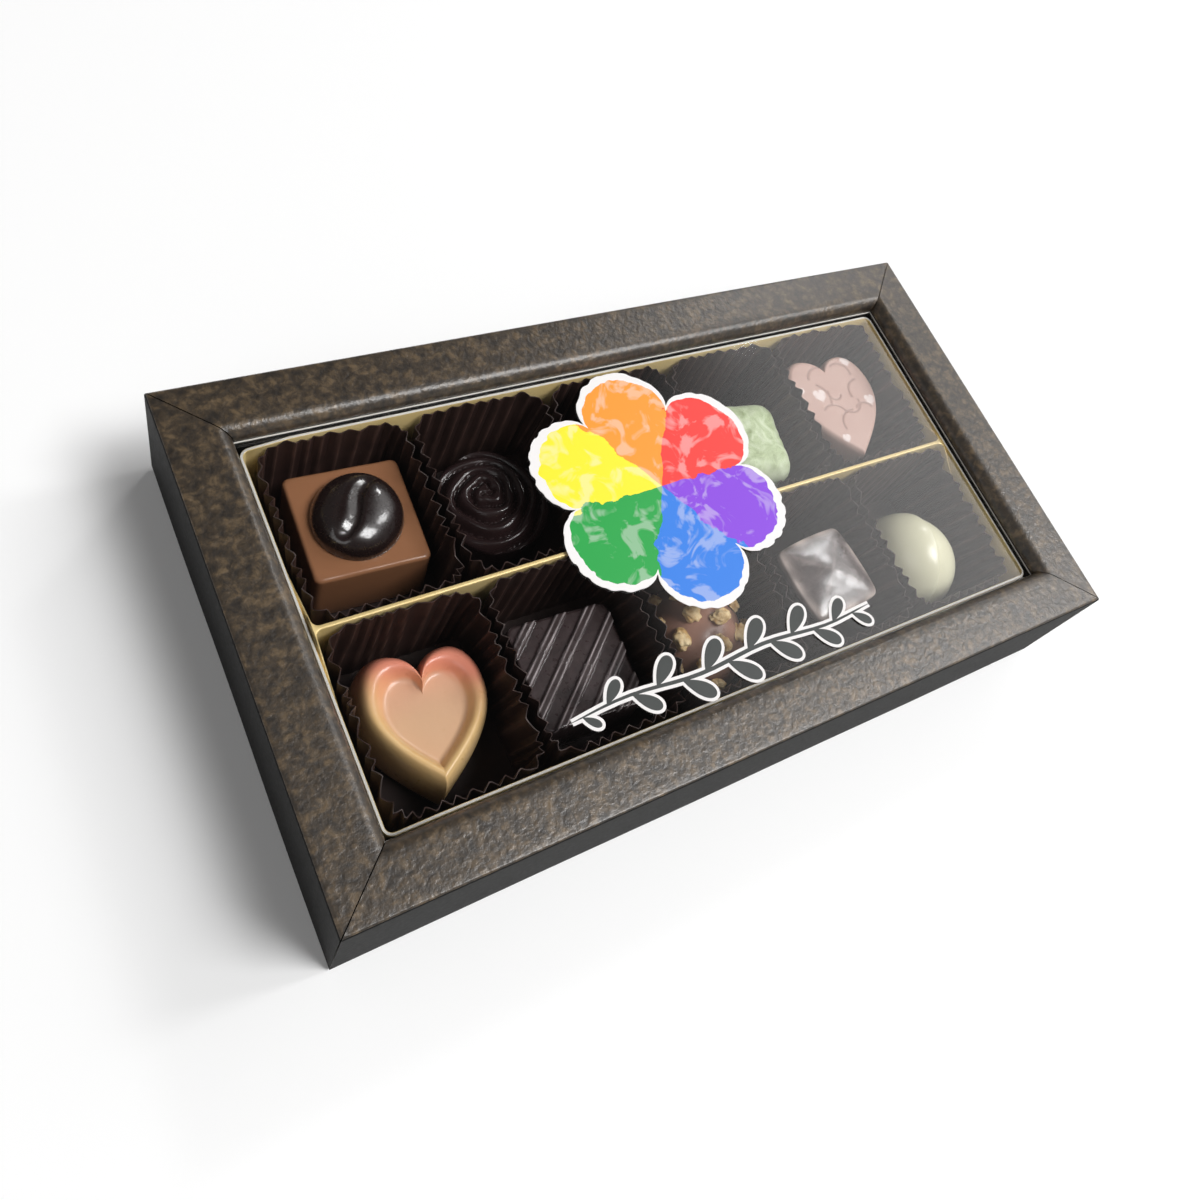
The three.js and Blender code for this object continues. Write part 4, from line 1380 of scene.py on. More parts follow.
@dataclass
class PaperCup:
    """Pleated paper cup: a flared wall of round-cornered rectangles, folded in and out like a zigzag.

    The back stands higher than the rest, and its flatter pleats press against what is behind it.
    """

    node: str
    seed: int = 0
    paper: float = 0.25
    pleats: int = 40
    points_on_pleat: int = 6
    rows: int = 14
    depth_floor: float = 0.3
    depth_rim: float = 1.7
    corner_floor: float = 1.5
    corner_rim: float = 6.0
    spread_x: float = 0.53
    spread_y: float = 1.67
    edge: float = 0.4
    back: float = 1.2
    back_from: tuple[float, float] = (0.7, 0.95)
    back_flat: float = 0.5
    hug: float = 0.35
    wander: float = 0.22
    wander_size: float = 0.5
    lean: float = 0.25
    lean_size: float = 0.9
    lean_seed: int = 50
    uneven: float = 0.02
    uneven_size: float = 0.35
    uneven_seed: int = 9
    # Where the crests' painted highlight begins on the zigzag, and over what share of the height it fades in
    fold_from: float = 0.7
    fold_rise: tuple[float, float] = (0.02, 0.2)

    def wall(self, half: Array, rise: Array) -> Array:
        """Wall before it is folded: rectangles that widen, with corners that grow rounder, as they rise.

        Args:
            half: half length and half width of the rim.
            rise: share of the height of each ring.

        Returns:
            The outlines, by ring and point.
        """
        corner = self.corner_floor + (self.corner_rim - self.corner_floor) * rise
        half_x, half_y = half[0] - self.spread_x * (1 - rise), half[1] - self.spread_y * (1 - rise)
        rects = rounded_rects(half_x, half_y, corner)
        return np.stack([resample(rect, self.pleats * self.points_on_pleat) for rect in rects])

    def zigzag(self, circle: Array, rise: Array) -> Array:
        """Triangle wave of the pleats, which wander round the cup and lean as they rise.

        Args:
            circle: places round the cup on a circle of radius 1.
            rise: share of the height of each ring.

        Returns:
            Share of the pleats' depth, by ring and point.
        """
        wander = self.wander * ripple(circle, self.wander_size, self.seed)
        lean = self.lean * rise[:, None] * ripple(circle, self.lean_size, self.seed + self.lean_seed)
        phase = np.arange(len(circle)) / self.points_on_pleat + wander + lean
        return np.abs(2 * (phase % 1) - 1)

    def build(self) -> list[Piece]:
        """Wall outside, rim and wall inside: each outline is drawn in by a zigzag of its own depth.

        Returns:
            The cup.
        """
        low, high = box_mm(self.node)
        half, middle = (high - low)[:2] / 2, (high + low)[:2] / 2
        rise = np.linspace(0, 1, self.rows)
        outlines = self.wall(half, rise)
        circle = round_outline(outlines.shape[1])
        zigzag, inwards = self.zigzag(circle, rise), inward_normals(outlines)
        behind = smoothstep(*self.back_from, outlines[..., 1] / half[1]) * rise[:, None]
        depth = (self.depth_floor + (self.depth_rim - self.depth_floor) * rise)[:, None]
        fold_in = (depth * zigzag * (1 - self.back_flat * behind) - self.hug * behind)[..., None]
        uneven = 1 - self.uneven * (1 + ripple(circle, self.uneven_size, self.seed + self.uneven_seed))
        full = high[2] - low[2] + self.edge + self.back * behind[-1]
        height = low[2] + full * np.minimum(rise[:, None] * uneven, 1)
        outer = stack(outlines + inwards * fold_in, height)
        inner = stack(outlines + inwards * (fold_in + self.paper), np.maximum(height, low[2] + self.paper))
        rings = np.concatenate([outer, inner[::-1]]) + (*middle, 0)
        # The fold attribute marks the pleats' crests, where the paper finish paints a pale highlight and is
        # less rough
        fold = smoothstep(self.fold_from, 1, zigzag) * smoothstep(*self.fold_rise, rise)[:, None]
        fold = np.concatenate([0 * fold, fold[::-1]])
        piece = ring_body(f"{self.node}_paper", rings, [CUP_PAPER], attributes={"fold": fold}, crease=30)
        return [install(piece, Body.BASE, "cup_paper", self.node)]


# Chocolates


@dataclass
class Chocolate:
    """Chocolate in its cup: a closed body of rings, modelled about its own middle and then set in place."""

    name: str
    slot: str
    finish: Finish
    shift: tuple[float, float] = (0.0, 0.0)
    turn: float = 0.0
    cup: str = ""

    def rings(self) -> Array:
        """Rings of the body, standing on the level 0."""
        raise NotImplementedError

    def attributes(self, rings: Array) -> dict[str, Array]:
        """Numbers that the finish reads at each point of the rings."""
        return {}

    def build(self) -> list[Piece]:
        """Set the body in its cup, shifted from the cup's middle, turned, and on the level of its solid.

        Returns:
            The chocolate.
        """
        low, high = box_mm(self.cup or f"cup_{self.name}")
        middle = (low + high) / 2
        move = (middle[0] + self.shift[0], middle[1] + self.shift[1], box_mm(self.name)[0][2])
        rings = self.rings()
        piece = ring_body(f"{self.name}_chocolate", turned(rings, self.turn, move), [self.finish],
                          attributes=self.attributes(rings), crease=70)
        return [install(piece, Body.BASE, self.slot, self.name)]


@dataclass
class BlockChocolate(Chocolate):
    """Rectangular block with round corners, leaning sides and a rounded top edge."""

    length: float = 26.2
    width: float = 26.2
    height: float = 17.3
    draft: float = 0.5
    corner: float = 1.6
    corner_limit: float = 0.95
    soft: tuple[float, float] = (0.9, 0.9)
    foot: float = 0.5
    bow: float = 0.0
    dent: float = 0.05
    dent_size: float = 9.0
    dent_seed: int = 1
    relief_from: float = 0.2
    relief_limit: float = 0.1
    last_ring: float = 0.97
    corner_steps: int = 6
    side_steps: int = 30
    side_rings: int = 8
    foot_steps: int = 4
    brow_steps: int = 12
    top_rings: int = 26

    def profile(self) -> Array:
        """Round lower edge, leaning side, rounded upper edge and level top, by distance inwards and height.

        Returns:
            The profile's points, from the underside to the middle of the top.
        """
        half = min(self.length, self.width) / 2
        inwards, down = self.soft
        brow, side_top = self.draft + inwards, self.height - down
        return np.concatenate([
            arc(self.foot, self.foot, self.foot, self.foot, 3, 2, self.foot_steps),
            np.linspace((0, self.foot), (self.draft, side_top), self.side_rings)[1:-1],
            arc(brow, side_top, inwards, down, 2, 1, self.brow_steps),
            np.linspace((brow, self.height), (half * self.last_ring, self.height), self.top_rings)[1:],
        ])

    def corners(self, inset: Array) -> Array:
        """Corner radius of each ring."""
        return np.full(len(inset), self.corner)

    def bowed(self, outlines: Array) -> Array:
        """Sides bowed out in plan: each axis drawn in by the bow times the square of the other's share."""
        share = outlines / (self.length / 2, self.width / 2)
        return outlines * (1 - self.bow * share[..., ::-1] ** 2)

    def relief(self, outlines: Array) -> Array:
        """What the top stands above or below its level: slow dents."""
        return self.dent * ripple(outlines, self.dent_size, self.dent_seed)

    def rings(self) -> Array:
        """Round-cornered rectangles along the profile, with the relief on the top.

        Returns:
            The rings.
        """
        profile = self.profile()
        x, y = self.length / 2 - profile[:, 0], self.width / 2 - profile[:, 0]
        radius = np.minimum(self.corners(profile[:, 0]), self.corner_limit * np.minimum(x, y))
        outlines = self.bowed(rounded_rects(x, y, radius, self.corner_steps, self.side_steps))
        down = self.soft[1]
        on_top = smoothstep(self.height - down - self.relief_from, self.height - down / 2, profile[:, 1])
        relief = self.relief(outlines) * on_top[:, None]
        return stack(outlines, profile[:, 1:] + np.minimum(relief, self.relief_limit))


@dataclass
class RidgedSquare(BlockChocolate):
    """Square with bars across the diagonal of its top."""

    pitch: float = 5.3
    groove: float = 1.1
    groove_depth: float = 1.0
    bar: tuple[float, float] = (0.56, 0.74)
    line_at: float = 0.72
    line_width: float = 0.08
    # Strength of the painted highlight on the right edges, against the left ones
    right_edge_highlight: float = 0.55
    patchiness: tuple[float, float] = (0.85, 0.3)
    patchiness_size: float = 8.0
    patchiness_seed: int = 21
    side_steps: int = 90
    top_rings: int = 64

    def phase(self, places: Array) -> Array:
        """Place across the bars, from 0 to 1 between the middles of two bars."""
        across = (places[..., 0] - places[..., 1]) / math.sqrt(2)
        return (across / self.pitch + 0.5) % 1

    def relief(self, outlines: Array) -> Array:
        """Bars along the diagonal: the groove's depth times a soft step of a triangle wave across them."""
        wave = np.abs(2 * self.phase(outlines) - 1)
        return self.groove * (smoothstep(*self.bar, wave) - 1)

    def attributes(self, rings: Array) -> dict[str, Array]:
        """Painted highlights on the bars' edges: thin pale lines, brighter on the left ones; bell curves of
        the triangle wave.

        Args:
            rings: the body's rings.

        Returns:
            The edge attribute.
        """
        phase = self.phase(rings)
        line = bell(np.abs(2 * phase - 1), self.line_at, self.line_width)
        patchiness = self.patchiness[0] + self.patchiness[1] * ripple(rings, self.patchiness_size, self.patchiness_seed)
        # Painted highlight: the lines are strong on the left edges and weaker on the right ones, varied by
        # slow noise
        worn = np.where(phase > 0.5, 1.0, self.right_edge_highlight) * patchiness
        return {"edge": np.clip(line * worn, 0, 1) * (rings[..., 2] > self.height - self.groove_depth)}


@dataclass
class Pillow(BlockChocolate):
    """Cushion-like block: bulging sides, and a low domed top of four facets that meet in soft hips."""

    hip: float = 2.4
    hip_radius: float = 0.45
    brow: tuple[tuple[float, float], ...] = ((0.12, 0.2), (0.4, 0.42))
    roof: tuple[float, float] = (0.9, 0.6)
    roof_power: float = 1.5
    barrel_rings: int = 16
    pale_width: float = 0.5
    pale_lift: float = 0.2
    hip_highlight: float = 0.15
    patchiness: tuple[float, float] = (0.7, 0.4)
    patchiness_size: float = 6.0
    patchiness_seed: int = 8

    def profile(self) -> Array:
        """Side bulged like a barrel, inset by the draft times (2t - 1)^2, a small edge, and facets.

        Returns:
            The profile's points, from the underside to the middle of the top.
        """
        half, edge = min(self.length, self.width) / 2, self.height - self.hip
        t = np.linspace(0, 1, self.barrel_rings)
        side = np.stack([self.draft * (2 * t - 1) ** 2, edge * t], -1)
        brow = np.array(self.brow) + (self.draft, edge)
        u = np.linspace(0, 1, self.top_rings)
        start, lift = self.draft + self.roof[0], self.roof[1]
        roof = np.stack([start + (half * self.last_ring - start) * u,
                         edge + lift + (self.hip - lift) * (1 - (1 - u) ** self.roof_power)], -1)
        return np.concatenate([[(self.draft + self.foot, 0)], side[1:], brow, roof])

    def corners(self, inset: Array) -> Array:
        """Corners that grow rounder towards the middle."""
        return self.corner + self.hip_radius * np.maximum(inset - self.draft, 0)

    def attributes(self, rings: Array) -> dict[str, Array]:
        """Paler along the upper edge and, more thinly, along the hips, where the pale line is a painted
        highlight: bell curves of the distance.

        Args:
            rings: the body's rings.

        Returns:
            The edge attribute.
        """
        x, y, z = np.moveaxis(rings, -1, 0)
        edge = self.height - self.hip + self.pale_lift
        across = np.abs(np.abs(x) * self.width / self.length - np.abs(y))
        # Painted highlight along the hips
        hips = self.hip_highlight * bell(across, 0, self.pale_width) * (z > edge)
        patchiness = self.patchiness[0] + self.patchiness[1] * ripple(rings, self.patchiness_size, self.patchiness_seed)
        return {"edge": np.clip(np.maximum(bell(z, edge, self.pale_width), hips) * patchiness, 0, 1)}


@dataclass
class PistachioBlock(BlockChocolate):
    """Soft hand-cut block with an uneven skin."""

    slow: tuple[float, float, int] = (0.25, 11.0, 2)
    quick: tuple[float, float, int] = (0.1, 3.0, 6)
    sink: float = 0.2
    pale: float = 0.6
    pale_from: tuple[float, float] = (10.5, 14.5)
    pale_to: tuple[float, float] = (18.6, 15.6)

    def relief(self, outlines: Array) -> Array:
        """Uneven skin: waves of two lengths, each with its height, length and seed."""
        waves = (height * ripple(outlines, size, seed) for height, size, seed in (self.slow, self.quick))
        return sum(waves) - self.sink

    def attributes(self, rings: Array) -> dict[str, Array]:
        """Paler towards the upper edge."""
        z = rings[..., 2]
        return {"edge": self.pale * smoothstep(*self.pale_from, z) * smoothstep(*self.pale_to, z)}


@dataclass
class RoundChocolate(Chocolate):
    """Round chocolate on a circle of rings, from its foot up its side and over its top to the middle."""

    radius: float = 13.4
    height: float = 15.5
    rise: float = 5.0
    foot: tuple[tuple[float, float], ...] = ((0.97, 0.0), (0.99, 0.25), (1.0, 0.8))
    points: int = 168
    side_rings: int = 7
    top_rings: int = 56

    def top(self, share: Array, angle: Array) -> Array:
        """Height of the top above the side's upper edge, by share of the radius and angle."""
        return self.rise * (1 - share**2) + 0 * angle

    def around(self, angle: Array) -> Array:
        """Radius at an angle, as a share of the full one."""
        return np.ones_like(angle)

    def rings(self) -> Array:
        """Foot, upright side and top: the foot is drawn in a little, and the top follows its own formula.

        Returns:
            The rings.
        """
        circle = round_outline(self.points)
        angle = np.arctan2(circle[:, 1], circle[:, 0])
        outline = circle * self.radius * self.around(angle)[:, None]
        wall = self.height - self.rise
        foot_share, foot_level = np.array(self.foot).T
        up = np.linspace(foot_level[-1], wall, self.side_rings)[1:-1]
        inwards = np.linspace(1, POLE, self.top_rings)
        share = np.concatenate([foot_share, 1 + 0 * up, inwards])
        crown = wall + self.top(inwards[:, None], angle[None])
        level = np.concatenate([np.concatenate([foot_level, up])[:, None] + 0 * angle, crown])
        return stack(outline * share[:, None, None], level)


@dataclass
class SwirlRound(RoundChocolate):
    """Piped rosette: a ridge that winds up to the middle, pressed flat here and there."""

    crest: float = 1.5
    crest_power: float = 0.75
    pitch: float = 3.2
    eye: tuple[float, float] = (-0.2, 0.08)
    eye_size: float = 0.12
    dome_power: float = 1.8
    tilt: float = 0.3
    wobbles: tuple[tuple[float, float, float], ...] = ((0.1, 3.0, 4.0), (0.06, 5.0, -9.0))

    def top(self, share: Array, angle: Array) -> Array:
        """Dome plus a spiral ridge about its eye: |cos| of the radius in pitches less the turn.

        Args:
            share: share of the radius.
            angle: angle in radians.

        Returns:
            Height above the side's upper edge.
        """
        x, y = share * np.cos(angle) - self.eye[0], share * np.sin(angle) - self.eye[1]
        out, turn = np.hypot(x, y), np.arctan2(y, x)
        wobble = sum(size * np.sin(turns * turn + waves * out) for size, turns, waves in self.wobbles)
        phase = out * self.radius / self.pitch - turn / FULL_TURN + wobble
        ridge = (np.abs(np.cos(np.pi * phase)) ** self.crest_power - 1) * smoothstep(0, self.eye_size, out)
        dome = self.rise * (1 - share**self.dome_power)
        return dome + self.crest * ridge - self.tilt * np.sin(2 * angle + 1) * share


@dataclass
class FlutedRound(RoundChocolate):
    """Fluted cup of chocolate with a low crown and a ring near its edge."""

    flutes: int = 14
    flute_depth: float = 0.053
    crown: float = 0.98
    ring_depth: float = 0.5
    ring_at: float = 0.72
    ring_width: float = 0.05

    def around(self, angle: Array) -> Array:
        """Flutes: the radius waves with the angle."""
        return 1 - self.flute_depth * (1 - np.cos(angle * self.flutes)) / 2

    def top(self, share: Array, angle: Array) -> Array:
        """Low elliptic crown with a shallow ring pressed into it."""
        ring = self.ring_depth * bell(share, self.ring_at, self.ring_width)
        return self.rise * np.sqrt(np.clip(1 - share**2, 0, 1)) * self.crown - ring + 0 * angle


@dataclass
class NutDome(RoundChocolate):
    """Dipped dome, a little uneven."""

    dent: float = 0.012
    dent_size: float = 9.0
    dent_seed: int = 12
    last_ring: float = 0.992
    top_rings: int = 64

    def rings(self) -> Array:
        """Half ellipsoid with slow dents.

        Returns:
            The rings.
        """
        angle = np.linspace(0, np.pi / 2 * self.last_ring, self.top_rings)
        outlines = round_outline(self.points) * self.radius * np.cos(angle)[:, None, None]
        dome = stack(outlines, self.height * np.sin(angle))
        return dome * (1 - self.dent * (1 + ripple(dome, self.dent_size, self.dent_seed)))[..., None]


@dataclass
class CoffeeBean(Chocolate):
    """Coffee bean: an oval dome with a swaying slit, steep on one side and gently sloped on the other."""

    length: float = 20.6
    width: float = 19.4
    height: float = 5.7
    dome_power: float = 1.08
    flatness: float = 0.4
    slit: float = 16.0
    slit_steep: float = 0.7
    slit_slope: float = 2.2
    slit_depth: float = 1.05
    slit_end: tuple[float, float] = (1.12, 0.8)
    slit_above: tuple[float, float] = (0.1, 0.5)
    sway: float = 0.9
    last_ring: float = 0.995
    points: int = 200
    top_rings: int = 90

    def rings(self) -> Array:
        """Oval dome; the slit is a lopsided bell-shaped groove along a sine.

        Returns:
            The rings.
        """
        oval = round_outline(self.points) * (self.length / 2, self.width / 2)
        angle = np.linspace(0, np.pi / 2 * self.last_ring, self.top_rings)
        outlines, up = oval * np.cos(angle)[:, None, None], np.sin(angle)[:, None]
        along = outlines[..., 0] / (self.slit / 2)
        off = outlines[..., 1] - self.sway * np.sin(along * np.pi)
        inside = smoothstep(*self.slit_end, np.abs(along)) * smoothstep(*self.slit_above, up)
        groove = self.slit_depth * bell(off, 0, np.where(off > 0, self.slit_slope, self.slit_steep)) * inside
        flat = 1 + self.flatness * (outlines[..., 0] / (self.length / 2)) ** 2
        return stack(outlines, np.maximum(self.height * up**self.dome_power * flat - groove, 0))


@dataclass
class HeartChocolate(Chocolate):
    """Heart: rings drawn in from a heart outline along a profile of distances inwards and heights."""

    width: float = 28.0
    length: float = 29.0
    notch: float = 5.5
    profile: tuple[tuple[float, float], ...] = ()
    fade: int = 8
    points: int = 240
    floor_rings: int = 50

    def relief(self, outlines: Array) -> Array:
        """What the middle of the top stands above or below its level."""
        return np.zeros(outlines.shape[:2])

    def rings(self) -> Array:
        """The profile's corners are cut round, and its end runs level to the middle.

        The relief fades in over the profile's last points.

        Returns:
            The rings.
        """
        profile = cut_corners(np.array(self.profile, float))
        share = 1 - profile[:, 0] / (self.width / 2)
        inner = np.linspace(share[-1], POLE, self.floor_rings + 1)[1:]
        level = np.concatenate([profile[:, 1], profile[-1, 1] + 0 * inner])
        all_shares = np.concatenate([share, inner])
        outlines = heart_outline(self.width, self.length, self.notch, self.points) * all_shares[:, None, None]
        top = smoothstep(share[-self.fade], share[-1], all_shares)
        return stack(outlines, level[:, None] + self.relief(outlines) * top[:, None])


@dataclass
class PinkHeart(HeartChocolate):
    """Flat heart with curls drawn into its top and darkened as painted shade, and small pale hearts printed
    on it.

    A curl is an arc: a middle, a radius and two angles in radians. A speck has a middle and a size.
    """

    curls: tuple[tuple[float, float, float, float, float], ...] = (
        (-7.5, 3.0, 5.0, -0.6, 1.1), (-2.5, 8.5, 4.2, 1.2, 3.0), (4.5, 9.5, 3.6, -0.2, 2.2),
        (9.0, 3.0, 4.4, 1.6, 3.4), (3.0, 0.5, 3.2, -2.4, 0.2), (-3.4, -3.4, 4.0, 0.2, 2.4),
        (2.2, -6.4, 4.6, 1.4, 3.4), (-0.5, 4.0, 2.0, 2.6, 6.0), (7.0, -3.2, 3.0, 0.4, 2.6))
    curl_width: float = 0.34
    curl_depth: float = 0.16
    curl_shade: float = 0.8
    specks: tuple[tuple[float, float, float], ...] = (
        (-5.4, 3.6, 1.7), (10.1, 0.0, 1.4), (8.4, 13.0, 1.3), (-3.6, -10.2, 1.1), (-10.4, 6.0, 0.8))
    speck_edge: float = 0.1
    top_from: tuple[float, float] = (16.2, 17.6)
    dent: float = 0.04
    dent_size: float = 7.0
    dent_seed: int = 3

    def curl(self, places: Array) -> Array:
        """Curls drawn with a soft pen: bell curves of the distance from the arcs.

        Args:
            places: places, with the coordinates in the last axis.

        Returns:
            How strongly each place is drawn on, from 0 to 1.
        """
        x, y, radius, start, stop = np.array(self.curls).T
        off = places[..., None, :2] - np.stack([x, y], -1)
        turn = (np.arctan2(off[..., 1], off[..., 0]) - start) % FULL_TURN
        pen = bell(np.linalg.norm(off, axis=-1), radius, self.curl_width)
        return (pen * (turn < stop - start)).max(-1)

    def relief(self, outlines: Array) -> Array:
        """The curls are shallow grooves in a top with slow dents."""
        dents = self.dent * ripple(outlines, self.dent_size, self.dent_seed)
        return dents - self.curl_depth * self.curl(outlines)

    def attributes(self, rings: Array) -> dict[str, Array]:
        """Curls, darkened as painted shade, and small hearts: (x^2 + y^2 - 1)^3 < x^2 y^3 about each place.

        Args:
            rings: the body's rings.

        Returns:
            The curl and speck attributes.
        """
        x, y, size = np.array(self.specks).T
        u, v = (rings[..., None, 0] - x) / size, (rings[..., None, 1] - y) / size
        inside = (u**2 + v**2 - 1) ** 3 - u**2 * v**3
        specks = smoothstep(self.speck_edge, -self.speck_edge, inside).max(-1)
        on_top = smoothstep(*self.top_from, rings[..., 2])
        # The curl attribute darkens the grooves with painted shade
        return {"curl": self.curl(rings) * self.curl_shade * on_top, "speck": specks * on_top}


@dataclass
class PearlHeart(HeartChocolate):
    """Plump heart with a smaller heart sunk into it, dusted red at its lobes."""

    blush: float = 0.85
    blush_from: tuple[float, float] = (-1.0, 12.0)
    blush_height: tuple[float, float] = (5.0, 13.5)
    blush_slant: float = 0.3
    blush_wave: float = 1.6
    blush_size: float = 12.0
    blush_seed: int = 4
    hollow: float = 0.75
    hollow_height: tuple[float, float] = (14.6, 13.7)
    hollow_reach: tuple[float, float] = (0.75, 0.6)

    def attributes(self, rings: Array) -> dict[str, Array]:
        """Blush towards the notch and over the upper edge, and a paler hollow: soft steps of the place.

        Args:
            rings: the body's rings.

        Returns:
            The blush and hollow attributes.
        """
        x, y, z = np.moveaxis(rings, -1, 0)
        share = np.hypot(x / self.width * 2, y / self.length * 2)
        back = y + self.blush_slant * x + self.blush_wave * ripple(rings, self.blush_size, self.blush_seed)
        blush = smoothstep(*self.blush_from, back) * smoothstep(*self.blush_height, z)
        hollow = smoothstep(*self.hollow_height, z) * smoothstep(*self.hollow_reach, share)
        return {"blush": self.blush * blush, "hollow": self.hollow * hollow}


@dataclass
class WhiteEgg(Chocolate):
    """Egg on its flat side, with one half a step higher than the other."""

    length: float = 30.0
    width: float = 26.4
    height: float = 20.9
    taper: float = 0.1
    fullness: float = 2.6
    step: float = 0.9
    inset: float = 0.045
    seam: tuple[float, float] = (0.794, -0.607)
    seam_off: float = 1.0
    seam_width: float = 0.35
    seam_from: tuple[float, float] = (0.1, 0.35)
    last_ring: float = 0.985
    points: int = 280
    levels: int = 110

    def rings(self) -> Array:
        """Tapered oval drawn in over the height; a steep tanh across it sets one half lower and inwards.

        Returns:
            The rings.
        """
        circle = round_outline(self.points)
        oval = np.hypot(circle[:, 0] * self.width / 2, circle[:, 1] * self.length / 2)
        outline = circle * (oval * (1 - self.taper * circle[:, 1]))[:, None]
        rise = np.sin(np.linspace(0, self.last_ring, self.levels) * np.pi / 2)
        outlines = outline * np.sqrt(1 - rise**self.fullness)[:, None, None]
        rise = rise[:, None]
        across = outlines @ self.seam - self.seam_off
        lower = (1 + np.tanh(across / self.seam_width)) / 2 * smoothstep(*self.seam_from, rise)
        return stack(outlines * (1 - self.inset * lower)[..., None], rise * (self.height - self.step * lower))


@dataclass
class ChoppedNuts:
    """Broken nuts seated on the dome: lumpy balls whose undersides follow the dome."""

    count: int = 18
    dome: str = "nut_dome"
    grow: float = 1.24
    seat: float = 0.12
    lumps: tuple[tuple[float, float, int], ...] = ((0.17, 1.4, 60), (0.09, 0.6, 90))
    last_ring: float = 0.995
    points: int = 36
    levels: int = 26

    def lump(self, number: int) -> Array:
        """Ball drawn out to the solid's box, roughened by waves, and pushed out of the dome.

        Each kind of wave has a height, a length and a seed.

        Args:
            number: number of the nut.

        Returns:
            The rings of the lump.
        """
        low, high = box_mm(f"chopped_nut_{number}")
        base, crown = box_mm(self.dome)
        height = np.linspace(-self.last_ring, self.last_ring, self.levels)
        ball = stack(round_outline(self.points) * np.sqrt(1 - height**2)[:, None, None], height)
        rough = 1 + sum(rise * ripple(ball, size, seed + number) for rise, size, seed in self.lumps)
        lump = ball * rough[..., None] * (high - low) / 2 * self.grow + (low + high) / 2
        middle = np.array([*(base + crown)[:2] / 2, base[2]])
        reach = crown - middle + self.seat
        off = (lump - middle) / reach
        far = np.linalg.norm(off, axis=-1, keepdims=True)
        return middle + off / far * np.maximum(far, 1) * reach

    def build(self) -> list[Piece]:
        """Every nut as a piece of its own.

        Returns:
            The nuts.
        """
        made = []
        for number in range(1, self.count + 1):
            nut = ring_body(f"chopped_nut_{number}_roasted", self.lump(number), [NUT], crease=60)
            made.append(install(nut, Body.BASE, "chopped_nut", f"chopped_nut_{number}"))
        return made


CHOCOLATES = [
    BlockChocolate("milk_square", "milk_chocolate", MILK, (0.5, 3.0), -2.5),
    CoffeeBean("coffee_bean", "dark_chocolate", BEAN_GLAZE, (0.5, 3.0), 48, cup="cup_milk_square"),
    SwirlRound("dark_swirl", "dark_chocolate", DARK, (-0.3, 1.9)),
    FlutedRound("fluted_round", "milk_chocolate", FLUTED_MILK, (0.0, 1.0), radius=13.2, height=15.0,
                rise=4.0),
    PistachioBlock("pistachio_block", "pistachio_coating", PISTACHIO, (1.6, -2.2), -10, length=22.0,
                   width=23.4, height=18.9, draft=0.2, corner=4.0, soft=(6.0, 6.0)),
    PinkHeart("pink_heart", "pink_coating", PINK, (-0.1, -0.2), -4, width=28.4, length=32.6, notch=4.4,
              profile=((1.6, 0), (0.4, 0.6), (0, 4), (0, 12), (0.3, 16), (0.6, 17.3), (1.4, 18.1),
                       (2.6, 18.1))),
    PearlHeart("pearl_heart", "pearl_coating", PEARL, (-0.64, -0.7), -8, width=28.8, length=32.0, notch=6.0,
               profile=((2.0, 0), (0.6, 0.6), (0, 4), (0.1, 8), (0.7, 12), (1.6, 14.8), (2.7, 16.3),
                        (3.8, 16.4), (4.7, 15.8), (5.6, 14.2), (6.3, 13.7), (7.0, 13.6))),
    RidgedSquare("ridged_square", "dark_chocolate", RIDGED, (-0.5, -0.8), -3, height=15.4, draft=0.8,
                 corner=2.0, soft=(0.5, 0.5)),
    NutDome("nut_dome", "nut_dome_coating", COATING, (0.1, -2.1), radius=14.4, height=16.6),
    Pillow("marbled_pillow", "marbled_coating", MARBLED, (1.8, -1.3), 5, length=22.6, width=22.4, height=20.3,
           draft=0.7, bow=0.07),
    WhiteEgg("white_egg", "white_chocolate", WHITE, (1.3, -2.2), 24),
]


# Studio


def direction(azimuth: float, elevation: float) -> Vector:
    """Unit vector at an azimuth from +X and an elevation, in degrees."""
    a, e = math.radians(azimuth), math.radians(elevation)
    return Vector((math.cos(e) * math.cos(a), math.cos(e) * math.sin(a), math.sin(e)))


@dataclass(frozen=True)
class Softbox:
    """Rectangular lamp that faces the box from a direction and a distance."""

    name: str
    azimuth: float
    elevation: float
    distance: float
    size: tuple[float, float]
    watts: float

    def build(self) -> None:
        """Hang the lamp where the camera doesn't see it."""
        data = bpy.data.lights.new(self.name, "AREA")
        data.shape, data.energy = "RECTANGLE", self.watts
        data.size, data.size_y = (size * MM for size in self.size)
        lamp = bpy.data.objects.new(self.name, data)
        place = direction(self.azimuth, self.elevation) * self.distance * MM
        lamp.matrix_world = Matrix.Translation(place) @ (-place).to_track_quat("-Z", "Y").to_matrix().to_4x4()
        lamp.visible_camera = False
        bpy.context.scene.collection.objects.link(lamp)


@dataclass(frozen=True)
class SkyPatch:
    """Round patch of the sky with its own brightness on top of the sky's, which fades between two angles."""

    azimuth: float
    elevation: float
    inner: float
    outer: float
    level: float


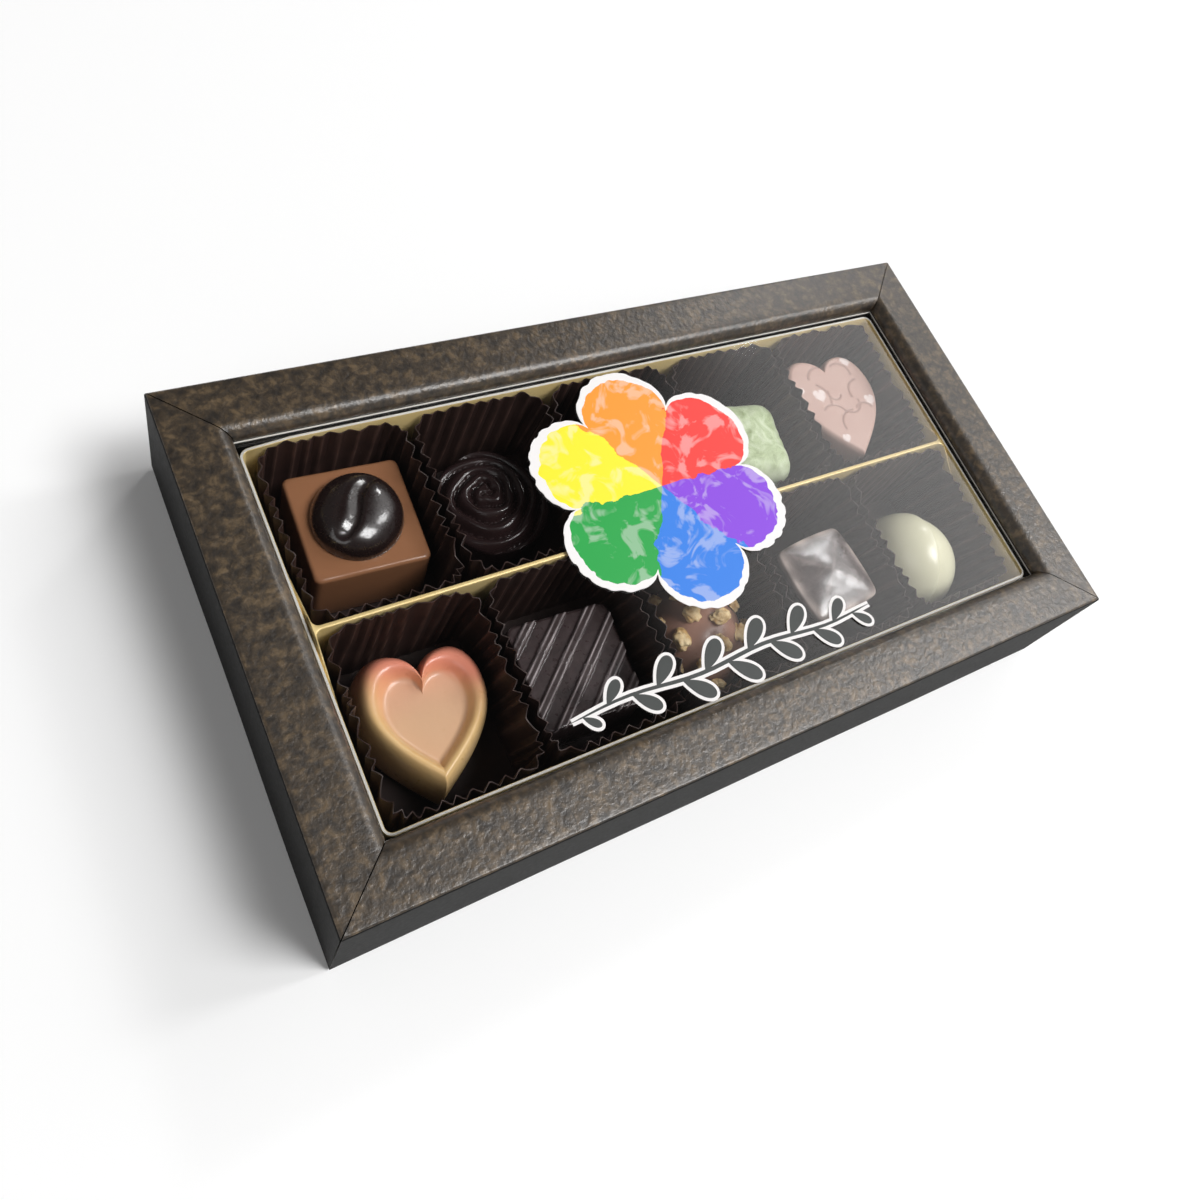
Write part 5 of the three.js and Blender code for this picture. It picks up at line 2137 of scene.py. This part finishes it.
@dataclass
class Studio:
    """Pale floor, softboxes, a sky with a dark panel, a glow and a white horizon, and the camera."""

    camera_place: tuple[float, float, float] = (-113.5, -62.59, 200.59)
    camera_target: tuple[float, float, float] = (-13.91, -4.32, 0.0)
    camera_roll: float = 37.68
    focal_length: float = 28.03
    sensor: float = 36.0
    sight: tuple[float, float] = (5.0, 50000.0)
    floor_size: float = 12000.0
    softboxes: tuple[Softbox, ...] = (
        Softbox("top_softbox", -40, 60, 3000, (1200, 1200), 69),
        Softbox("strip_softbox", -3, 45, 3000, (400, 760), 13),
        Softbox("rim_softbox", 37.5, 39, 2500, (260, 260), 5),
        Softbox("fill_softbox", 205, 42, 2500, (1500, 1500), 9),
    )
    sky_colour: str = "#f7f6f5"
    sky_level: float = 0.12
    patches: tuple[SkyPatch, ...] = (
        SkyPatch(50, 64, 17, 32, -0.1),
        SkyPatch(13, 38, 4, 24, 1.5),
        SkyPatch(0, -90, 96, 108, 0.85),
    )

    def camera(self) -> None:
        """Camera that looks at its target, with its horizon rolled."""
        data = bpy.data.cameras.new("photo_camera")
        data.lens, data.sensor_width = self.focal_length, self.sensor
        data.clip_start, data.clip_end = (reach * MM for reach in self.sight)
        camera = bpy.data.objects.new("photo_camera", data)
        place, target = Vector(self.camera_place) * MM, Vector(self.camera_target) * MM
        look = (target - place).to_track_quat("-Z", "Y").to_matrix()
        turn = look @ Matrix.Rotation(math.radians(self.camera_roll), 3, "Z")
        camera.matrix_world = Matrix.Translation(place) @ turn.to_4x4()
        bpy.context.scene.collection.objects.link(camera)
        bpy.context.scene.camera = camera

    def floor(self) -> None:
        """Wide matt floor."""
        half = self.floor_size / 2 * MM
        corners = [(-half, -half, 0), (half, -half, 0), (half, half, 0), (-half, half, 0)]
        mesh = bpy.data.meshes.new("studio_floor")
        mesh.from_pydata(corners, [], [(0, 1, 2, 3)])
        mesh.materials.append(FLOOR_PAINT.material())
        floor = bpy.data.objects.new("studio_floor", mesh)
        bpy.context.scene.collection.objects.link(floor)

    def sky(self) -> None:
        """Even sky, to which each patch adds a smooth step of the angle from its axis."""
        world = bpy.data.worlds.new("studio_sky")
        world.use_nodes = True
        tree = world.node_tree
        tree.nodes.clear()
        place = node(tree, Kind.COORDINATES, out="Generated")
        level = node(tree, Kind.VALUE)
        level.default_value = self.sky_level
        for patch in self.patches:
            axis = direction(patch.azimuth, patch.elevation)
            towards = node(tree, Kind.VECTOR_MATH, {0: place, 1: axis}, "Value", operation="DOT_PRODUCT")
            added = node(tree, Kind.MAP_RANGE, {
                "Value": towards, "From Min": math.cos(math.radians(patch.outer)),
                "From Max": math.cos(math.radians(patch.inner)), "To Max": patch.level},
                interpolation_type="SMOOTHSTEP")
            level = node(tree, Kind.MATH, {0: level, 1: added})
        light = node(tree, Kind.BACKGROUND, {"Color": linear(self.sky_colour), "Strength": level})
        output = tree.nodes.new("ShaderNodeOutputWorld")
        tree.links.new(light, output.inputs["Surface"])
        bpy.context.scene.world = world

    def build(self) -> None:
        """Set up the studio with the plain view transform."""
        bpy.context.scene.view_settings.view_transform = "Standard"
        self.camera()
        self.floor()
        for softbox in self.softboxes:
            softbox.build()
        self.sky()
        log.info("studio: camera, floor, %d softboxes and sky", len(self.softboxes))


def main() -> None:
    """Build the studio and the box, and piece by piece."""
    logging.basicConfig(level=logging.INFO, format="%(name)s: %(message)s")
    Studio().build()
    cups = [name for name in sorted(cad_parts) if name.startswith("cup_")]
    assemblies = [LidFrame(), Window(), Flower(), Sprig(), GoldTray(), Carton(), ChoppedNuts(), *CHOCOLATES,
                  *(PaperCup(name, seed=100 + 7 * i) for i, name in enumerate(cups))]
    pieces = [piece for assembly in assemblies for piece in assembly.build()]
    log.info("%d pieces in all", len(pieces))


if __name__ == "__main__":
    main()
